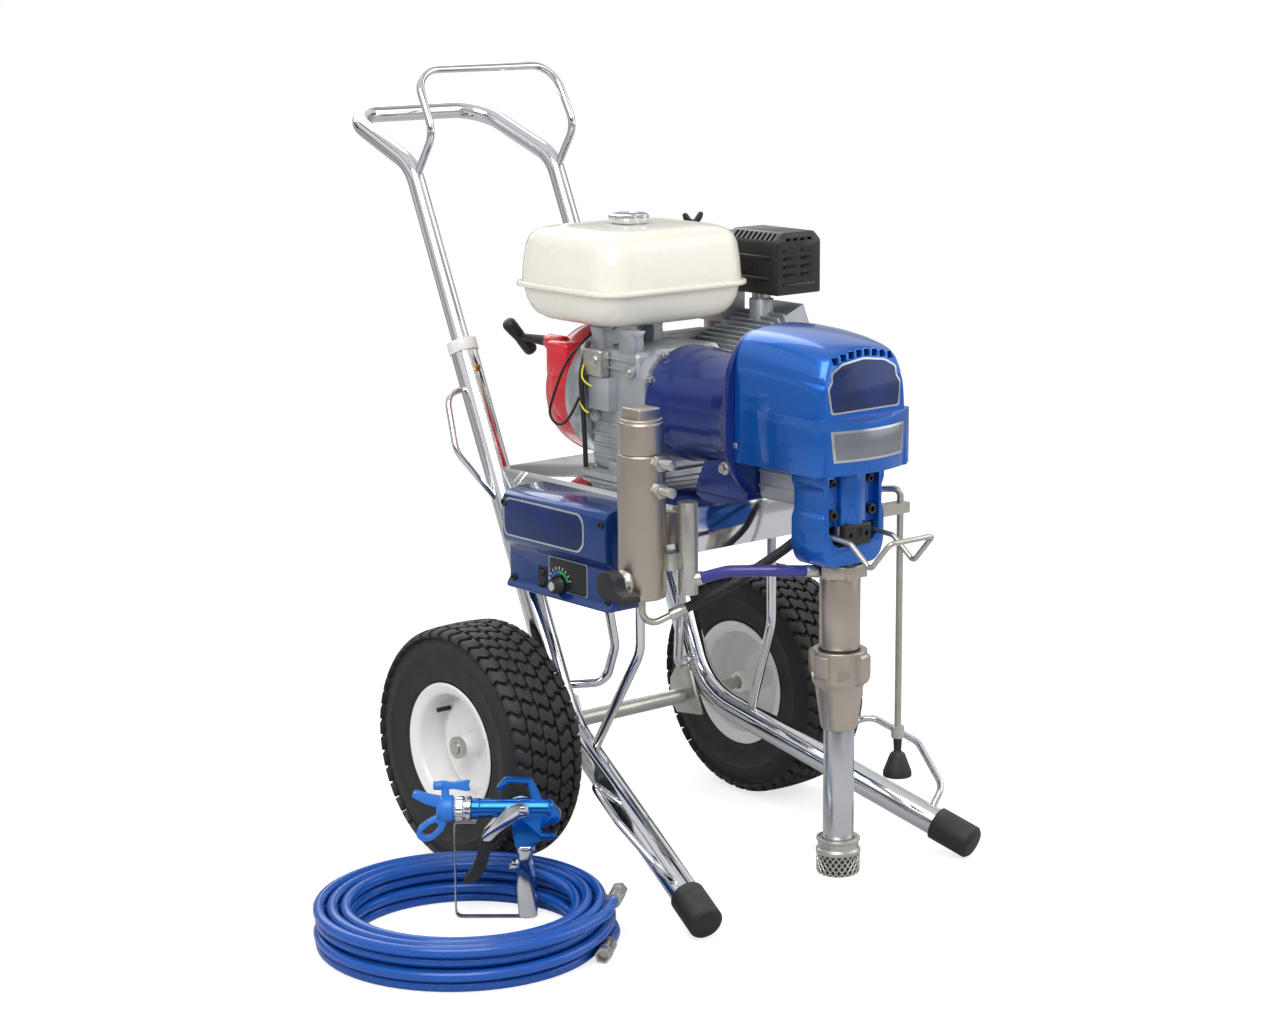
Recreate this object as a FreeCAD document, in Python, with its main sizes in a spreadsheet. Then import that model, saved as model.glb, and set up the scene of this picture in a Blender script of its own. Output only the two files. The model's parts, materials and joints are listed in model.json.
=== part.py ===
import FreeCAD, Part
import math
import os
import re

from FreeCAD import Placement, Rotation, Vector
import Sketcher

# Airless paint sprayer on a two-wheeled cart, in millimetres.
# The machine stands on the plane z = 0 with the axle above y = 0, the pump at the front (-Y),
# the push handle at the rear (+Y), and the middle plane of the cart at x = 0.
# At the end every piece is moved so that the origin is the middle of the outer box, on the floor.

SIZES = {
    # cart frame
    "cart_half": 126.0, "frame_tube": 19.0, "frame_wall": 2.0, "socket_top": 662.0,
    "lean": 0.455, "corner_y": -25.0, "corner_z": 172.0, "corner_bend": 110.0,
    "foot_x": 241.0, "foot_y": -445.0, "cap_radius": 23.0, "cap_length": 60.0, "cap_end": 10.0,
    "cap_chamfer": 4.0, "fit_gap": 0.1, "run_gap": 0.05, "rest_gap": 0.3,
    # axle and wheels
    "axle_radius": 8.0, "axle_half": 300.0, "axle_z": 165.0, "sleeve_radius": 10.65,
    "plate_thick": 6.0, "plate_reach": 24.0, "nut_radius": 15.0, "nut_length": 7.0,
    "tyre_radius": 165.0, "wheel_x": 259.5, "tyre_half": 56.5, "rim_flange": 91.0,
    "rim_barrel": 77.0, "rim_half": 50.5, "rim_sheet": 3.0, "hub_radius": 15.0, "hub_half": 31.0,
    # struts, hoops and hooks made of rod
    "strut_radius": 6.5, "strut_x": 118.0, "hoop_radius": 4.75, "hook_radius": 4.5,
    # telescopic handle
    "handle_radius": 12.5, "handle_wall": 1.6, "handle_bend_z": 915.0,
    "handle_insert": 130.0, "bar_half": 120.0, "bar_y": 480.0, "bar_z": 978.0,
    "loop_radius": 5.5, "bush_radius": 21.0, "bush_height": 17.0, "bush_depth": 30.0,
    # deck
    "deck_z": 514.0, "deck_half": 135.0, "deck_front": -290.0, "deck_rear": 104.0,
    "deck_sheet": 3.0, "deck_flange": 59.0,
    # engine
    "crank_z": 620.0, "crank_radius": 12.5, "block_half": 75.0, "block_front": -118.0,
    "block_rear": -20.0, "block_top": 690.0, "foot_half": 95.0, "foot_thick": 10.0,
    "cover_front": -143.0, "cover_plate": 16.0, "cylinder_y": -66.0, "cylinder_tilt": 22.0,
    "barrel_length": 128.0, "barrel_half": 38.0, "fin_half": 46.0,
    "fin_width": 47.0, "fin_thick": 3.0, "fin_pitch": 12.0,
    "exhaust_radius": 13.0, "port_top": 736.0, "exhaust_in": 20.0, "head_length": 36.0,
    "valve_length": 30.0,
    "tank_left": -120.0, "tank_right": 145.0, "tank_front": -115.0, "tank_rear": 110.0,
    "tank_low": 718.0, "tank_seam": 768.0, "tank_top": 848.0, "tank_corner": 34.0,
    "tank_round": 15.0, "tank_wall": 3.0, "tank_lip": 5.0, "seam_thick": 7.0,
    "filler_x": 15.0, "filler_y": 5.0, "filler_radius": 21.0, "cap_grip": 28.0, "cap_top": 862.0,
    "shroud_radius": 95.0, "shroud_rear": 12.0, "starter_radius": 92.0, "starter_rear": 85.0,
    "starter_wall": 3.0, "flywheel_radius": 80.0, "flywheel_front": -14.0, "flywheel_rear": 8.0,
    "grip_x": -65.0, "grip_z": 684.0, "grip_y": 150.0,
    "muffler_left": 175.0, "muffler_right": 258.0, "muffler_front": -120.0, "muffler_rear": -15.0,
    "muffler_low": 745.0, "muffler_top": 832.0, "guard_sheet": 2.0,
    "cleaner_left": 152.0, "cleaner_right": 262.0, "cleaner_front": 0.0, "cleaner_rear": 108.0,
    "cleaner_low": 742.0, "cleaner_top": 824.0, "wing_top": 848.0,
    # drive and pump
    "clutch_radius": 75.0, "clutch_front": -320.0, "clutch_wall": 6.0, "clutch_rim": 12.0,
    "drive_front": -398.0, "drive_half": 44.0, "drive_low": 520.0, "drive_top": 690.0,
    "shield_front": -470.0, "shield_half": 82.0, "shield_low": 573.0, "shield_top": 746.0,
    "shield_wall": 3.0, "band_front": -490.0, "band_top": 648.0,
    "pump_y": -430.0, "yoke_half": 56.0, "yoke_front": -455.0, "yoke_low": 447.0,
    "yoke_top": 572.0, "window_half": 44.0, "window_low": 474.0, "window_depth": 22.0,
    "rod_radius": 11.0, "piston_radius": 18.0, "ring_radius": 40.0, "ring_bore": 34.0,
    "ring_z": 546.0, "ring_half": 12.0, "piston_z": 342.0, "coupler_z": 482.0,
    "pump_radius": 26.5, "pump_low": 334.0, "pump_top": 430.0,
    "neck_radius": 20.0, "neck_top": 460.0, "jam_nut": 35.5, "valve_top": 42.0, "valve_low": 22.5,
    "valve_low_z": 228.0, "suction_radius": 20.0, "suction_wall": 1.6, "suction_low": 62.0,
    "strainer_radius": 29.5, "strainer_low": 32.0, "strainer_top": 82.0,
    # fluid lines
    "drain_x": 108.0, "drain_radius": 4.5, "drain_elbow_z": 529.0, "drain_nut_z": 194.0,
    "drain_end_x": 66.0, "drain_end_y": -384.0, "drain_end_z": 512.0, "port_x": -46.0,
    "port_y": -414.0, "port_z": 440.0,
    "deflector_radius": 19.0, "deflector_low": 142.0, "hose_radius": 7.5, "drain_hose": 6.5,
    # manifold and controls
    "manifold_x": -190.0, "manifold_y": -262.0, "manifold_radius": 31.0, "manifold_low": 402.0,
    "manifold_top": 590.0, "manifold_bore": 22.0, "filter_cap": 29.5, "filter_cap_top": 632.0,
    "plug_half": 18.0, "plug_top": 649.0, "outlet_high": 581.0, "outlet_low": 546.0,
    "outlet_radius": 6.6, "outlet_length": 30.0, "valve_z": 425.0, "stem_radius": 6.0,
    "valve_knob": 24.0, "sensor_x": -150.0, "sensor_y": -306.0, "sensor_low": 408.0,
    "sensor_radius": 13.0, "sensor_height": 120.0, "union_z": 424.0,
    "box_front": -205.0, "box_rear": 15.0, "box_face": -205.0,
    "box_low": 370.0, "box_top": 507.0, "panel_x": -192.0, "panel_top": 428.0,
    "dial_y": -97.0, "dial_z": 390.0, "dial_radius": 12.0, "rocker_y": -58.0, "rocker_z": 393.0,
    "rocker_pin": 1.5, "rocker_half": 6.0, "rocker_pin_x": -190.0,
    # pail hook
    "bail_radius": 3.5, "bail_half": 38.0, "bail_pin": 12.0, "bail_y": -445.0, "bail_z": 489.0,
    # spray gun, standing on its grip and its guard strip
    "gun_x": -353.0, "gun_y": -222.0, "gun_turn": 138.5, "gun_axis_z": 145.0, "gun_barrel": 13.0,
    "grip_half": 13.0, "grip_width": 10.5, "grip_top": 96.0, "strip_width": 12.0,
    "strip_thick": 1.5, "strip_x": 91.0, "trigger_gap": 1.5, "trigger_plate": 3.0,
    "pin_radius": 2.5,
    "tip_radius": 5.0, "tip_x": 101.0,
    # spray hose wound on the floor
    "coil_x": -465.0, "coil_y": -240.0, "coil_tube": 7.0, "coil_outer": 183.0,
    "coil_step": 17.0, "coil_rise": 15.0, "coil_base": 7.0, "coil_lift": 4.0,
    "ferrule_radius": 9.5, "fitting_nut": 10.5, "fitting_length": 44.0,
}
LAYERS = 4
HALF_TURNS = 5
START_ANGLE = 40.0

doc = FreeCAD.newDocument("paint_sprayer")
sheet = doc.addObject("Spreadsheet::Sheet", "dim")
for row, (alias, number) in enumerate(SIZES.items(), start=1):
    sheet.set("A%d" % row, alias)
    sheet.set("B%d" % row, "%g" % number)
    sheet.setAlias("B%d" % row, alias)
doc.recompute()

UP = Vector(0, 0, 1)
AXES = {"x": Vector(1, 0, 0), "-x": Vector(-1, 0, 0), "y": Vector(0, 1, 0), "-y": Vector(0, -1, 0),
        "z": Vector(0, 0, 1), "-z": Vector(0, 0, -1)}
final_pieces = []


def size(alias):
    """The number that the sheet holds under an alias."""
    return float(sheet.get(alias))


def formula(text):
    """An expression of the sheet's aliases, as the document engine reads it."""
    return re.sub(r"[A-Za-z_]\w*", lambda word: "dim." + word[0] if word[0] in SIZES else word[0],
                  str(text))


def bind(obj, **sizes):
    """Bind properties of an object to expressions of the sheet's aliases."""
    for name, text in sizes.items():
        obj.setExpression(name, formula(text))
    return obj


def place(obj, at, turn=None):
    """Put an object at three expressions, turned by a rotation."""
    obj.Placement = Placement(Vector(), turn if turn else Rotation())
    for axis, text in zip("xyz", at):
        obj.setExpression("Placement.Base." + axis, formula(text))
    return obj


def towards(direction):
    """The rotation that takes +Z to a named axis or to a vector."""
    return Rotation(UP, AXES[direction] if isinstance(direction, str) else direction)


def block(name, low, high):
    """A box between two corners, each three expressions."""
    box = doc.addObject("Part::Box", name)
    bind(box, Length="(%s) - (%s)" % (high[0], low[0]), Width="(%s) - (%s)" % (high[1], low[1]),
         Height="(%s) - (%s)" % (high[2], low[2]))
    return place(box, low)


def rod(name, radius, length, at, along="z"):
    """A round bar from a point along a direction."""
    bar = doc.addObject("Part::Cylinder", name)
    bind(bar, Radius=radius, Height=length)
    return place(bar, at, towards(along))


def taper(name, radius_start, radius_end, length, at, along="z"):
    """A cone frustum from a point along a direction."""
    cone = doc.addObject("Part::Cone", name)
    bind(cone, Radius1=radius_start, Radius2=radius_end, Height=length)
    return place(cone, at, towards(along))


def hexagon(name, radius, length, at, along="z"):
    """A six-sided prism, its radius to the corners."""
    prism = doc.addObject("Part::Prism", name)
    prism.Polygon = 6
    bind(prism, Circumradius=radius, Height=length)
    return place(prism, at, towards(along))


def cut(name, base, tool):
    """One object less another."""
    result = doc.addObject("Part::Cut", name)
    result.Base = base
    result.Tool = tool
    return result


def fuse(name, *pieces):
    """Several objects made one."""
    result = doc.addObject("Part::MultiFuse", name)
    result.Shapes = list(pieces)
    return result


def group(name, *pieces):
    """Several separate solids under one name."""
    result = doc.addObject("Part::Compound", name)
    result.Links = list(pieces)
    return result


def sleeve(name, outer, inner, length, at, along="z"):
    """A round bar with a round bore through it."""
    return cut(name, rod(name + "_outer", outer, length, at, along),
               rod(name + "_bore", inner, length, at, along))


def outline(body, name, points):
    """A closed outline of straight lines in the body's XY plane, each corner tied to the sheet."""
    sketch = body.newObject("Sketcher::SketchObject", name)
    plane = [item for item in body.Origin.OriginFeatures if item.Role == "XY_Plane"][0]
    sketch.AttachmentSupport = (plane, [""])
    sketch.MapMode = "FlatFace"
    holder = doc.addObject("App::FeaturePython", name + "_corners")
    values = []
    for number, pair in enumerate(points):
        for letter, text in zip("xy", pair):
            holder.addProperty("App::PropertyFloat", letter + str(number))
            holder.setExpression(letter + str(number), formula(text))
    holder.recompute()
    for number in range(len(points)):
        values.append(Vector(getattr(holder, "x%d" % number), getattr(holder, "y%d" % number), 0))
    count = len(values)
    for number in range(count):
        sketch.addGeometry(Part.LineSegment(values[number], values[(number + 1) % count]), False)
    for number in range(count):
        sketch.addConstraint(Sketcher.Constraint("Coincident", number, 2, (number + 1) % count, 1))
    for number, (text_x, text_y) in enumerate(points):
        for kind, text, value in (("DistanceX", text_x, values[number].x),
                                  ("DistanceY", text_y, values[number].y)):
            index = sketch.addConstraint(Sketcher.Constraint(kind, -1, 1, number, 1, value))
            sketch.setExpression("Constraints[%d]" % index, formula(text))
    doc.removeObject(holder.Name)
    return sketch


def slab(name, points, length, at, turn=None, corner=None, rim=None):
    """An outline padded along the body's Z, with rounded upright edges and a rounded far rim."""
    body = doc.addObject("PartDesign::Body", name)
    pad = body.newObject("PartDesign::Pad", name + "_pad")
    pad.Profile = outline(body, name + "_outline", points)
    bind(pad, Length=length)
    doc.recompute()
    for label, radius in (("corner", corner), ("rim", rim)):
        if radius is None:
            continue
        previous = body.Tip
        solid = previous.Shape
        top = solid.BoundBox.ZMax
        chosen = []
        for number, edge in enumerate(solid.Edges, start=1):
            ends = [point.Point for point in edge.Vertexes]
            upright = len(ends) == 2 and abs(ends[0].z - ends[1].z) > 1e-6
            if upright == (label == "corner") and (upright or ends[0].z > top - 1e-6):
                chosen.append("Edge%d" % number)
        fillet = body.newObject("PartDesign::Fillet", name + "_" + label)
        fillet.Base = (previous, chosen)
        bind(fillet, Radius=radius)
        doc.recompute()
    return place(body, at, turn)


def turned(name, points, at, along):
    """An outline of radius and height pairs turned round the axis that lies along a direction."""
    body = doc.addObject("PartDesign::Body", name)
    turn = body.newObject("PartDesign::Revolution", name + "_turn")
    sketch = outline(body, name + "_outline", points)
    turn.Profile = sketch
    turn.ReferenceAxis = (sketch, ["V_Axis"])
    turn.Angle = 360.0
    return place(body, at, Rotation(Vector(0, 1, 0), AXES[along]))


def arc_between(start, apex, finish):
    """The arc that leaves start towards apex and reaches finish from it."""
    middle = (start + finish) * 0.5
    rise = apex - middle
    half_chord = (finish - start).Length / 2
    if rise.Length < 1e-6:
        return Part.LineSegment(start, finish)
    angle = math.atan2(rise.Length, half_chord)
    return Part.Arc(start, middle + rise * (half_chord * math.tan(angle / 2) / rise.Length), finish)


def rounded_path(points, radii):
    """A wire of straight runs with an arc of its own radius at each inner point."""
    edges = []
    here = points[0]
    for number, radius in enumerate(radii, start=1):
        corner = points[number]
        back = (points[number - 1] - corner).normalize()
        onward = (points[number + 1] - corner).normalize()
        turn = math.pi - back.getAngle(onward)
        reach = radius * math.tan(turn / 2)
        enter = corner + back * reach
        leave = corner + onward * reach
        if (enter - here).Length > 1e-4:
            edges.append(Part.LineSegment(here, enter).toShape())
        edges.append(arc_between(enter, corner, leave).toShape())
        here = leave
    if (points[-1] - here).Length > 1e-4:
        edges.append(Part.LineSegment(here, points[-1]).toShape())
    return Part.Wire(edges)


def sweep(name, path, radius):
    """A round section carried along a path, its radius tied to the sheet."""
    spine = doc.addObject("Part::Feature", name + "_path")
    spine.Shape = path
    section = doc.addObject("Part::Circle", name + "_section")
    bind(section, Radius=radius)
    first = path.Edges[0]
    start = first.firstVertex(True).Point
    direction = first.tangentAt(first.getParameterByLength(0.0))
    section.Placement = Placement(start, Rotation(UP, direction))
    result = doc.addObject("Part::Sweep", name)
    result.Sections = [section]
    result.Spine = (spine, ["Edge%d" % (number + 1) for number in range(len(path.Edges))])
    result.Solid = True
    result.Frenet = False
    return result


def bent_rod(name, points, radii, radius):
    """A solid rod bent along straight runs and arcs."""
    return sweep(name, rounded_path(points, radii), radius)


def bent_tube(name, points, radii, radius, bore):
    """A hollow tube bent along straight runs and arcs."""
    path = rounded_path(points, radii)
    return cut(name, sweep(name + "_outside", path, radius), sweep(name + "_inside", path, bore))


def mirrored(point, side):
    """A point of the right-hand side, or its mirror image on the left."""
    return Vector(point.x * side, point.y, point.z)


def piece(name, *parts, joined=False):
    """A sub-part of the model, made of parts fused together or kept as separate solids."""
    result = fuse(name, *parts) if joined and len(parts) > 1 else group(name, *parts)
    result.Label = name
    final_pieces.append(result)
    return result


# Cart frame: two bent side tubes, each an upright that carries the handle and a splayed leg.
half = size("cart_half")
slope = Vector(0, size("lean"), 1).normalize()
corner = Vector(half, size("corner_y"), size("corner_z"))
socket = corner + slope * ((size("socket_top") - corner.z) / slope.z)
foot = Vector(size("foot_x"), size("foot_y"), 0)
for repeat in range(6):
    leg = (foot - corner).normalize()
    foot.z = size("cap_radius") * math.sqrt(1 - leg.z ** 2)
tube_end = foot - leg * size("cap_end")
SIDES = (("right", 1), ("left", -1))
for label, side in SIDES:
    route = [mirrored(point, side) for point in (socket, corner, tube_end)]
    piece("side_tube_" + label,
          bent_tube("side_tube_%s_wall" % label, route, [size("corner_bend")], "frame_tube",
                    "frame_tube - frame_wall"))



def tube_bore(name, side):
    """The bore of a side tube's upright, long enough to clear what is welded on its outside."""
    return rod(name, "frame_tube - frame_wall", "socket_top", list(mirrored(corner, side)), slope)


caps = []
bushes = []
for label, side in SIDES:
    tip = mirrored(foot, side)
    back = mirrored(leg, side) * -1
    start = [number for number in tip]
    cap = doc.addObject("Part::Cylinder", "cap_%s" % label)
    bind(cap, Radius="cap_radius", Height="cap_length")
    place(cap, start, towards(back))
    rounded = doc.addObject("Part::Chamfer", "cap_%s_edge" % label)
    doc.recompute()
    rounded.Base = cap
    end_edge = [number for number, edge in enumerate(cap.Shape.Edges, start=1)
                if edge.isClosed() and (edge.CenterOfMass - tip).Length < 1.0]
    rounded.Edges = [(number, size("cap_chamfer"), size("cap_chamfer")) for number in end_edge]
    mouth = rod("cap_%s_mouth" % label, "frame_tube + fit_gap", "cap_length",
                [number for number in tip + back * size("cap_end")], back)
    caps.append(cut("foot_cap_%s" % label, rounded, mouth))
    at = [number for number in mirrored(socket, side)]
    collar = rod("bush_%s_collar" % label, "bush_radius", "bush_height", at, slope)
    insert = rod("bush_%s_insert" % label, "frame_tube - frame_wall - fit_gap", "bush_depth",
                 [number for number in mirrored(socket, side) - slope * size("bush_depth")], slope)
    hole = rod("bush_%s_hole" % label, "handle_radius + run_gap", "bush_depth + bush_height",
               [number for number in mirrored(socket, side) - slope * size("bush_depth")], slope)
    bushes.append(cut("handle_bush_%s" % label, fuse("bush_%s" % label, collar, insert), hole))
piece("foot_caps", *caps)
piece("handle_bushes", *bushes)

# Axle with its push nuts, and the sleeve and plates that carry it under the bends of the tubes.
axle = rod("axle_bar", "axle_radius", "2 * axle_half", ("-axle_half", 0, "axle_z"), "x")
nuts = [sleeve("push_nut_%s" % label, "nut_radius", "axle_radius + fit_gap / 2", "nut_length",
               ("%d * (wheel_x + hub_half + 2 * rest_gap)" % side, 0, "axle_z"), "x" if side > 0 else "-x")
        for label, side in SIDES]
piece("axle", axle, *nuts)
carrier = []
for label, side in SIDES:
    x_start = "cart_half - frame_tube - plate_thick" if side > 0 else "-cart_half + frame_tube"
    corners = [("-42", "-20"), ("10", "-26"), ("plate_reach", "-8"), ("plate_reach", "22"),
               ("8", "46"), ("-18", "40")]
    carrier.append(slab("axle_plate_%s" % label, corners, "plate_thick", (x_start, 0, "axle_z"),
                        Rotation(Vector(1, 1, 1), 120)))
tube_length = "2 * (cart_half - frame_tube - plate_thick)"
carrier.append(rod("cross_tube", "sleeve_radius", tube_length,
                   ("-(cart_half - frame_tube - plate_thick)", 0, "axle_z"), "x"))
hollow = rod("axle_tunnel", "axle_radius + fit_gap", "2 * axle_half", ("-axle_half", 0, "axle_z"), "x")
piece("axle_carrier", cut("axle_carrier_bored", fuse("axle_carrier_solid", *carrier), hollow))

# Struts that hold the deck, hoops that guard the legs, and hooks for the wound hose.
strut_top = size("deck_z") - size("deck_sheet")
rods = []
hoops = []
hooks = []
strut_x = size("strut_x")
for label, side in SIDES:
    weld = corner + leg * 88 + Vector(-6, 0, 17)
    front = [weld, Vector(strut_x, -172, 300), Vector(strut_x, -172, strut_top)]
    rods.append(bent_rod("strut_front_%s" % label, [mirrored(point, side) for point in front], [60],
                         "strut_radius"))
    rear = [Vector(half - 16, -10, 222), Vector(66, -34, 222), Vector(58, -46, 274),
            Vector(66, -42, 330), Vector(66, -42, strut_top)]
    rods.append(bent_rod("strut_rear_%s" % label, [mirrored(point, side) for point in rear],
                         [22, 40, 50], "strut_radius"))
    sideways = leg.cross(UP).normalize() * -1
    if sideways.x < 0:
        sideways = sideways * -1
    lean = (sideways + UP).normalize()
    base = size("frame_tube") - 3
    hoop = [corner + leg * (leg_at) + lean * rise
            for leg_at, rise in ((210, base), (238, 92), (330, 92), (388, 52), (386, base))]
    hoops.append(bent_rod("leg_hoop_%s" % label, [mirrored(point, side) for point in hoop],
                          [30, 30, 26], "hoop_radius"))
    upper = socket - slope * 52
    lower = socket - slope * 228
    out = Vector(1, 0, 0)
    hook = [upper + out * 14, Vector(half + 52, upper.y - 6, upper.z - 2),
            Vector(half + 60, lower.y + 36, lower.z + 82), lower + out * 14 + slope * 14]
    bent = bent_rod("hose_hook_%s" % label, [mirrored(point, side) for point in hook], [26, 34],
                    "hook_radius")
    hooks.append(cut("hose_hook_trimmed_" + label, bent, tube_bore("hook_clear_" + label, side)))
piece("frame_struts", *rods)
piece("leg_hoops", *hoops)
piece("hose_hooks", *hooks)

# Deck: a folded tray on the struts, with its bolts.
outside = block("deck_outside", ("-deck_half", "deck_front", "deck_z - deck_flange"),
                ("deck_half", "deck_rear", "deck_z"))
inside = block("deck_inside", ("-deck_half + deck_sheet", "deck_front + deck_sheet",
                               "deck_z - 2 * deck_flange"),
               ("deck_half - deck_sheet", "2 * deck_rear", "deck_z - deck_sheet"))
tray = cut("deck_tray", outside, inside)
for label, side in SIDES:
    tray = cut("deck_trimmed_" + label, tray, tube_bore("deck_clear_" + label, side))
piece("deck_plate", tray)
bolts = []
for x_text in ("-foot_half + 12", "foot_half - 12"):
    for y_text in ("block_front + 6", "block_rear - 6"):
        head = hexagon("deck_bolt_head", 7.5, 6, (x_text, y_text, "deck_z + foot_thick"))
        bolts.append(head)
piece("deck_bolts", *bolts)

# Engine: crankcase with its front cover, inclined finned cylinder, tank, shroud and starter.
crankcase = block("crankcase", ("-block_half", "block_front", "deck_z + foot_thick"),
                  ("block_half", "block_rear", "block_top"))
feet = block("crankcase_feet", ("-foot_half", "block_front", "deck_z"),
             ("foot_half", "block_rear", "deck_z + foot_thick"))
tilt = math.radians(size("cylinder_tilt"))
bore_axis = Vector(math.cos(tilt), 0, math.sin(tilt))
bore_turn = Rotation(Vector(0, 1, 0), -size("cylinder_tilt"))
crank_tunnel = rod("crank_tunnel", "crank_radius + run_gap", "block_rear - block_front",
                   (0, "block_front", "crank_z"), "y")
arms = [block("tank_arm_left", ("-block_half", "block_front + 8", "block_top"),
              ("-block_half + 18", "block_front + 40", "tank_low")),
        block("tank_arm_rear", ("-block_half", "block_rear - 24", "block_top"),
              ("-block_half + 18", "block_rear", "tank_low")),
        block("tank_arm_right", ("20", "block_rear - 18", "block_top"),
              ("40", "block_rear", "tank_low"))]
piece("engine_block", cut("engine_block_bored", fuse("engine_block_solid", crankcase, feet, *arms),
                          crank_tunnel))
plate = slab("cover_plate", [("-block_half", "-84"), ("block_half", "-84"), ("block_half + 4", "40"),
                             ("48", "74"), ("-48", "74"), ("-block_half - 4", "40")],
             "cover_plate", (0, "block_front", "crank_z"), Rotation(Vector(1, 0, 0), 90), "10")
boss = rod("cover_boss", "clutch_radius - clutch_wall - rest_gap", "block_front - cover_front",
           (0, "block_front", "crank_z"), "-y")
tunnel = rod("cover_tunnel", "crank_radius + run_gap", "60", (0, "block_front", "crank_z"), "-y")
piece("crankcase_cover", cut("crankcase_cover_bored", fuse("crankcase_cover_solid", plate, boss), tunnel))


def tilted_block(name, start, length, half_height, half_width):
    """A box about the cylinder's inclined axis, from a distance along it."""
    box = doc.addObject("Part::Box", name)
    bind(box, Length=length, Width="2 * " + half_width, Height="2 * " + half_height)
    origin = (Vector(size("block_half"), size("cylinder_y"), size("crank_z")) + bore_axis * start
              - bore_turn.multVec(UP) * size(half_height) - AXES["y"] * size(half_width))
    box.Placement = Placement(origin, bore_turn)
    return box


fins = [tilted_block("barrel", 14, "barrel_length + head_length - 14", "barrel_half", "barrel_half")]
fin_count = int((size("barrel_length") + size("head_length") - 26) / size("fin_pitch"))
for number in range(fin_count):
    fins.append(tilted_block("fin_%d" % number, 26 + number * size("fin_pitch"), "fin_thick",
                             "fin_half", "fin_width"))
port_boss = rod("exhaust_port", "exhaust_radius + 4", "port_top - block_top",
                ("muffler_left + exhaust_in", "cylinder_y", "block_top"))
neck = rod("barrel_neck", "barrel_half - 6", "40", ("block_half", "cylinder_y", "crank_z"), bore_axis)
valve_start = size("barrel_length") + size("head_length")
valve_box = tilted_block("valve_box", valve_start, "valve_length", "barrel_half", "barrel_half")
piece("engine_cylinder", cut("cylinder_trimmed", fuse("cylinder_solid", neck, port_boss, *fins),
                             block("cylinder_trim", (0, -400, 400), ("block_half", 400, 900))),
      valve_box)

tank_x = "(tank_left + tank_right) / 2"
tank_y = "(tank_front + tank_rear) / 2"


def tank_outline(shrink):
    """The tank's four corners about its middle, drawn in by an amount."""
    across = "(tank_right - tank_left) / 2 - (%s)" % shrink
    along = "(tank_rear - tank_front) / 2 - (%s)" % shrink
    return [("-(%s)" % across, "-(%s)" % along), (across, "-(%s)" % along), (across, along),
            ("-(%s)" % across, along)]


upper = slab("tank_upper", tank_outline("tank_lip"), "tank_top - tank_seam",
             (tank_x, tank_y, "tank_seam"), None, "tank_corner", "tank_round")
lower = slab("tank_lower", tank_outline("tank_lip + 2"), "tank_seam - tank_low",
             (tank_x, tank_y, "tank_seam"), Rotation(Vector(1, 0, 0), 180), "tank_corner", "tank_round")
seam = slab("tank_seam", tank_outline("0"), "seam_thick",
            (tank_x, tank_y, "tank_seam - seam_thick / 2"), None, "tank_corner + tank_lip")
cavity = slab("tank_cavity", tank_outline("tank_lip + 2 + 2 * tank_wall"),
              "tank_top - tank_low - 3 * tank_wall",
              (tank_x, tank_y, "tank_low + 2 * tank_wall"), None, "tank_corner - tank_wall", "tank_round")
filler = rod("filler_hole", "filler_radius", "40", ("filler_x", "filler_y", "tank_top - 20"))
piece("fuel_tank", cut("tank_open", cut("tank_shell", fuse("tank_solid", upper, lower, seam), cavity),
                       filler))
cap_disc = rod("cap_disc", "cap_grip", "cap_top - tank_top - rest_gap",
               ("filler_x", "filler_y", "tank_top + rest_gap"))
cap_plug = rod("cap_plug", "filler_radius - run_gap", "12",
               ("filler_x", "filler_y", "tank_top - 11"))
piece("fuel_cap", cap_disc, cap_plug, joined=True)

shroud_hole = rod("shroud_hole", "flywheel_radius + 3", "shroud_rear - flywheel_front + 2",
                  (0, "flywheel_front - 2", "crank_z"), "y")
shroud_ring = rod("shroud_ring", "shroud_radius", "shroud_rear - block_rear",
                  (0, "block_rear", "crank_z"), "y")
shroud_shaft = rod("shroud_shaft", "crank_radius + 4", "10", (0, "block_rear", "crank_z"), "y")
duct = block("shroud_duct", ("40", "block_rear + 1", "crank_z"), ("150", "shroud_rear", "crank_z + 72"))
piece("blower_shroud", cut("shroud_bored", cut("shroud_cut", fuse("shroud_solid", shroud_ring, duct),
                                               shroud_hole), shroud_shaft))
cup = turned("starter_cup", [("0", "starter_rear"), ("starter_radius - 26", "starter_rear"),
                             ("starter_radius - 8", "starter_rear - 12"),
                             ("starter_radius", "starter_rear - 34"),
                             ("starter_radius", "shroud_rear"),
                             ("starter_radius - starter_wall", "shroud_rear"),
                             ("starter_radius - starter_wall", "starter_rear - 36"),
                             ("starter_radius - 12", "starter_rear - 16"),
                             ("0", "starter_rear - 4")],
             (0, 0, "crank_z"), "y")
rope_boss = rod("rope_boss", "11", "34", ("grip_x", "starter_rear - 34", "grip_z"), "y")
piece("starter_cover", cup, rope_boss, joined=True)
stem = taper("grip_stem", "8", "5", "grip_y - starter_rear - 4",
             ("grip_x", "starter_rear + rest_gap", "grip_z"), "y")
bar = rod("grip_bar", "10", "64", ("grip_x - 22", "grip_y", "grip_z + 23"), Vector(0.69, 0, -0.72))
piece("starter_grip", stem, bar, joined=True)

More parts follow.
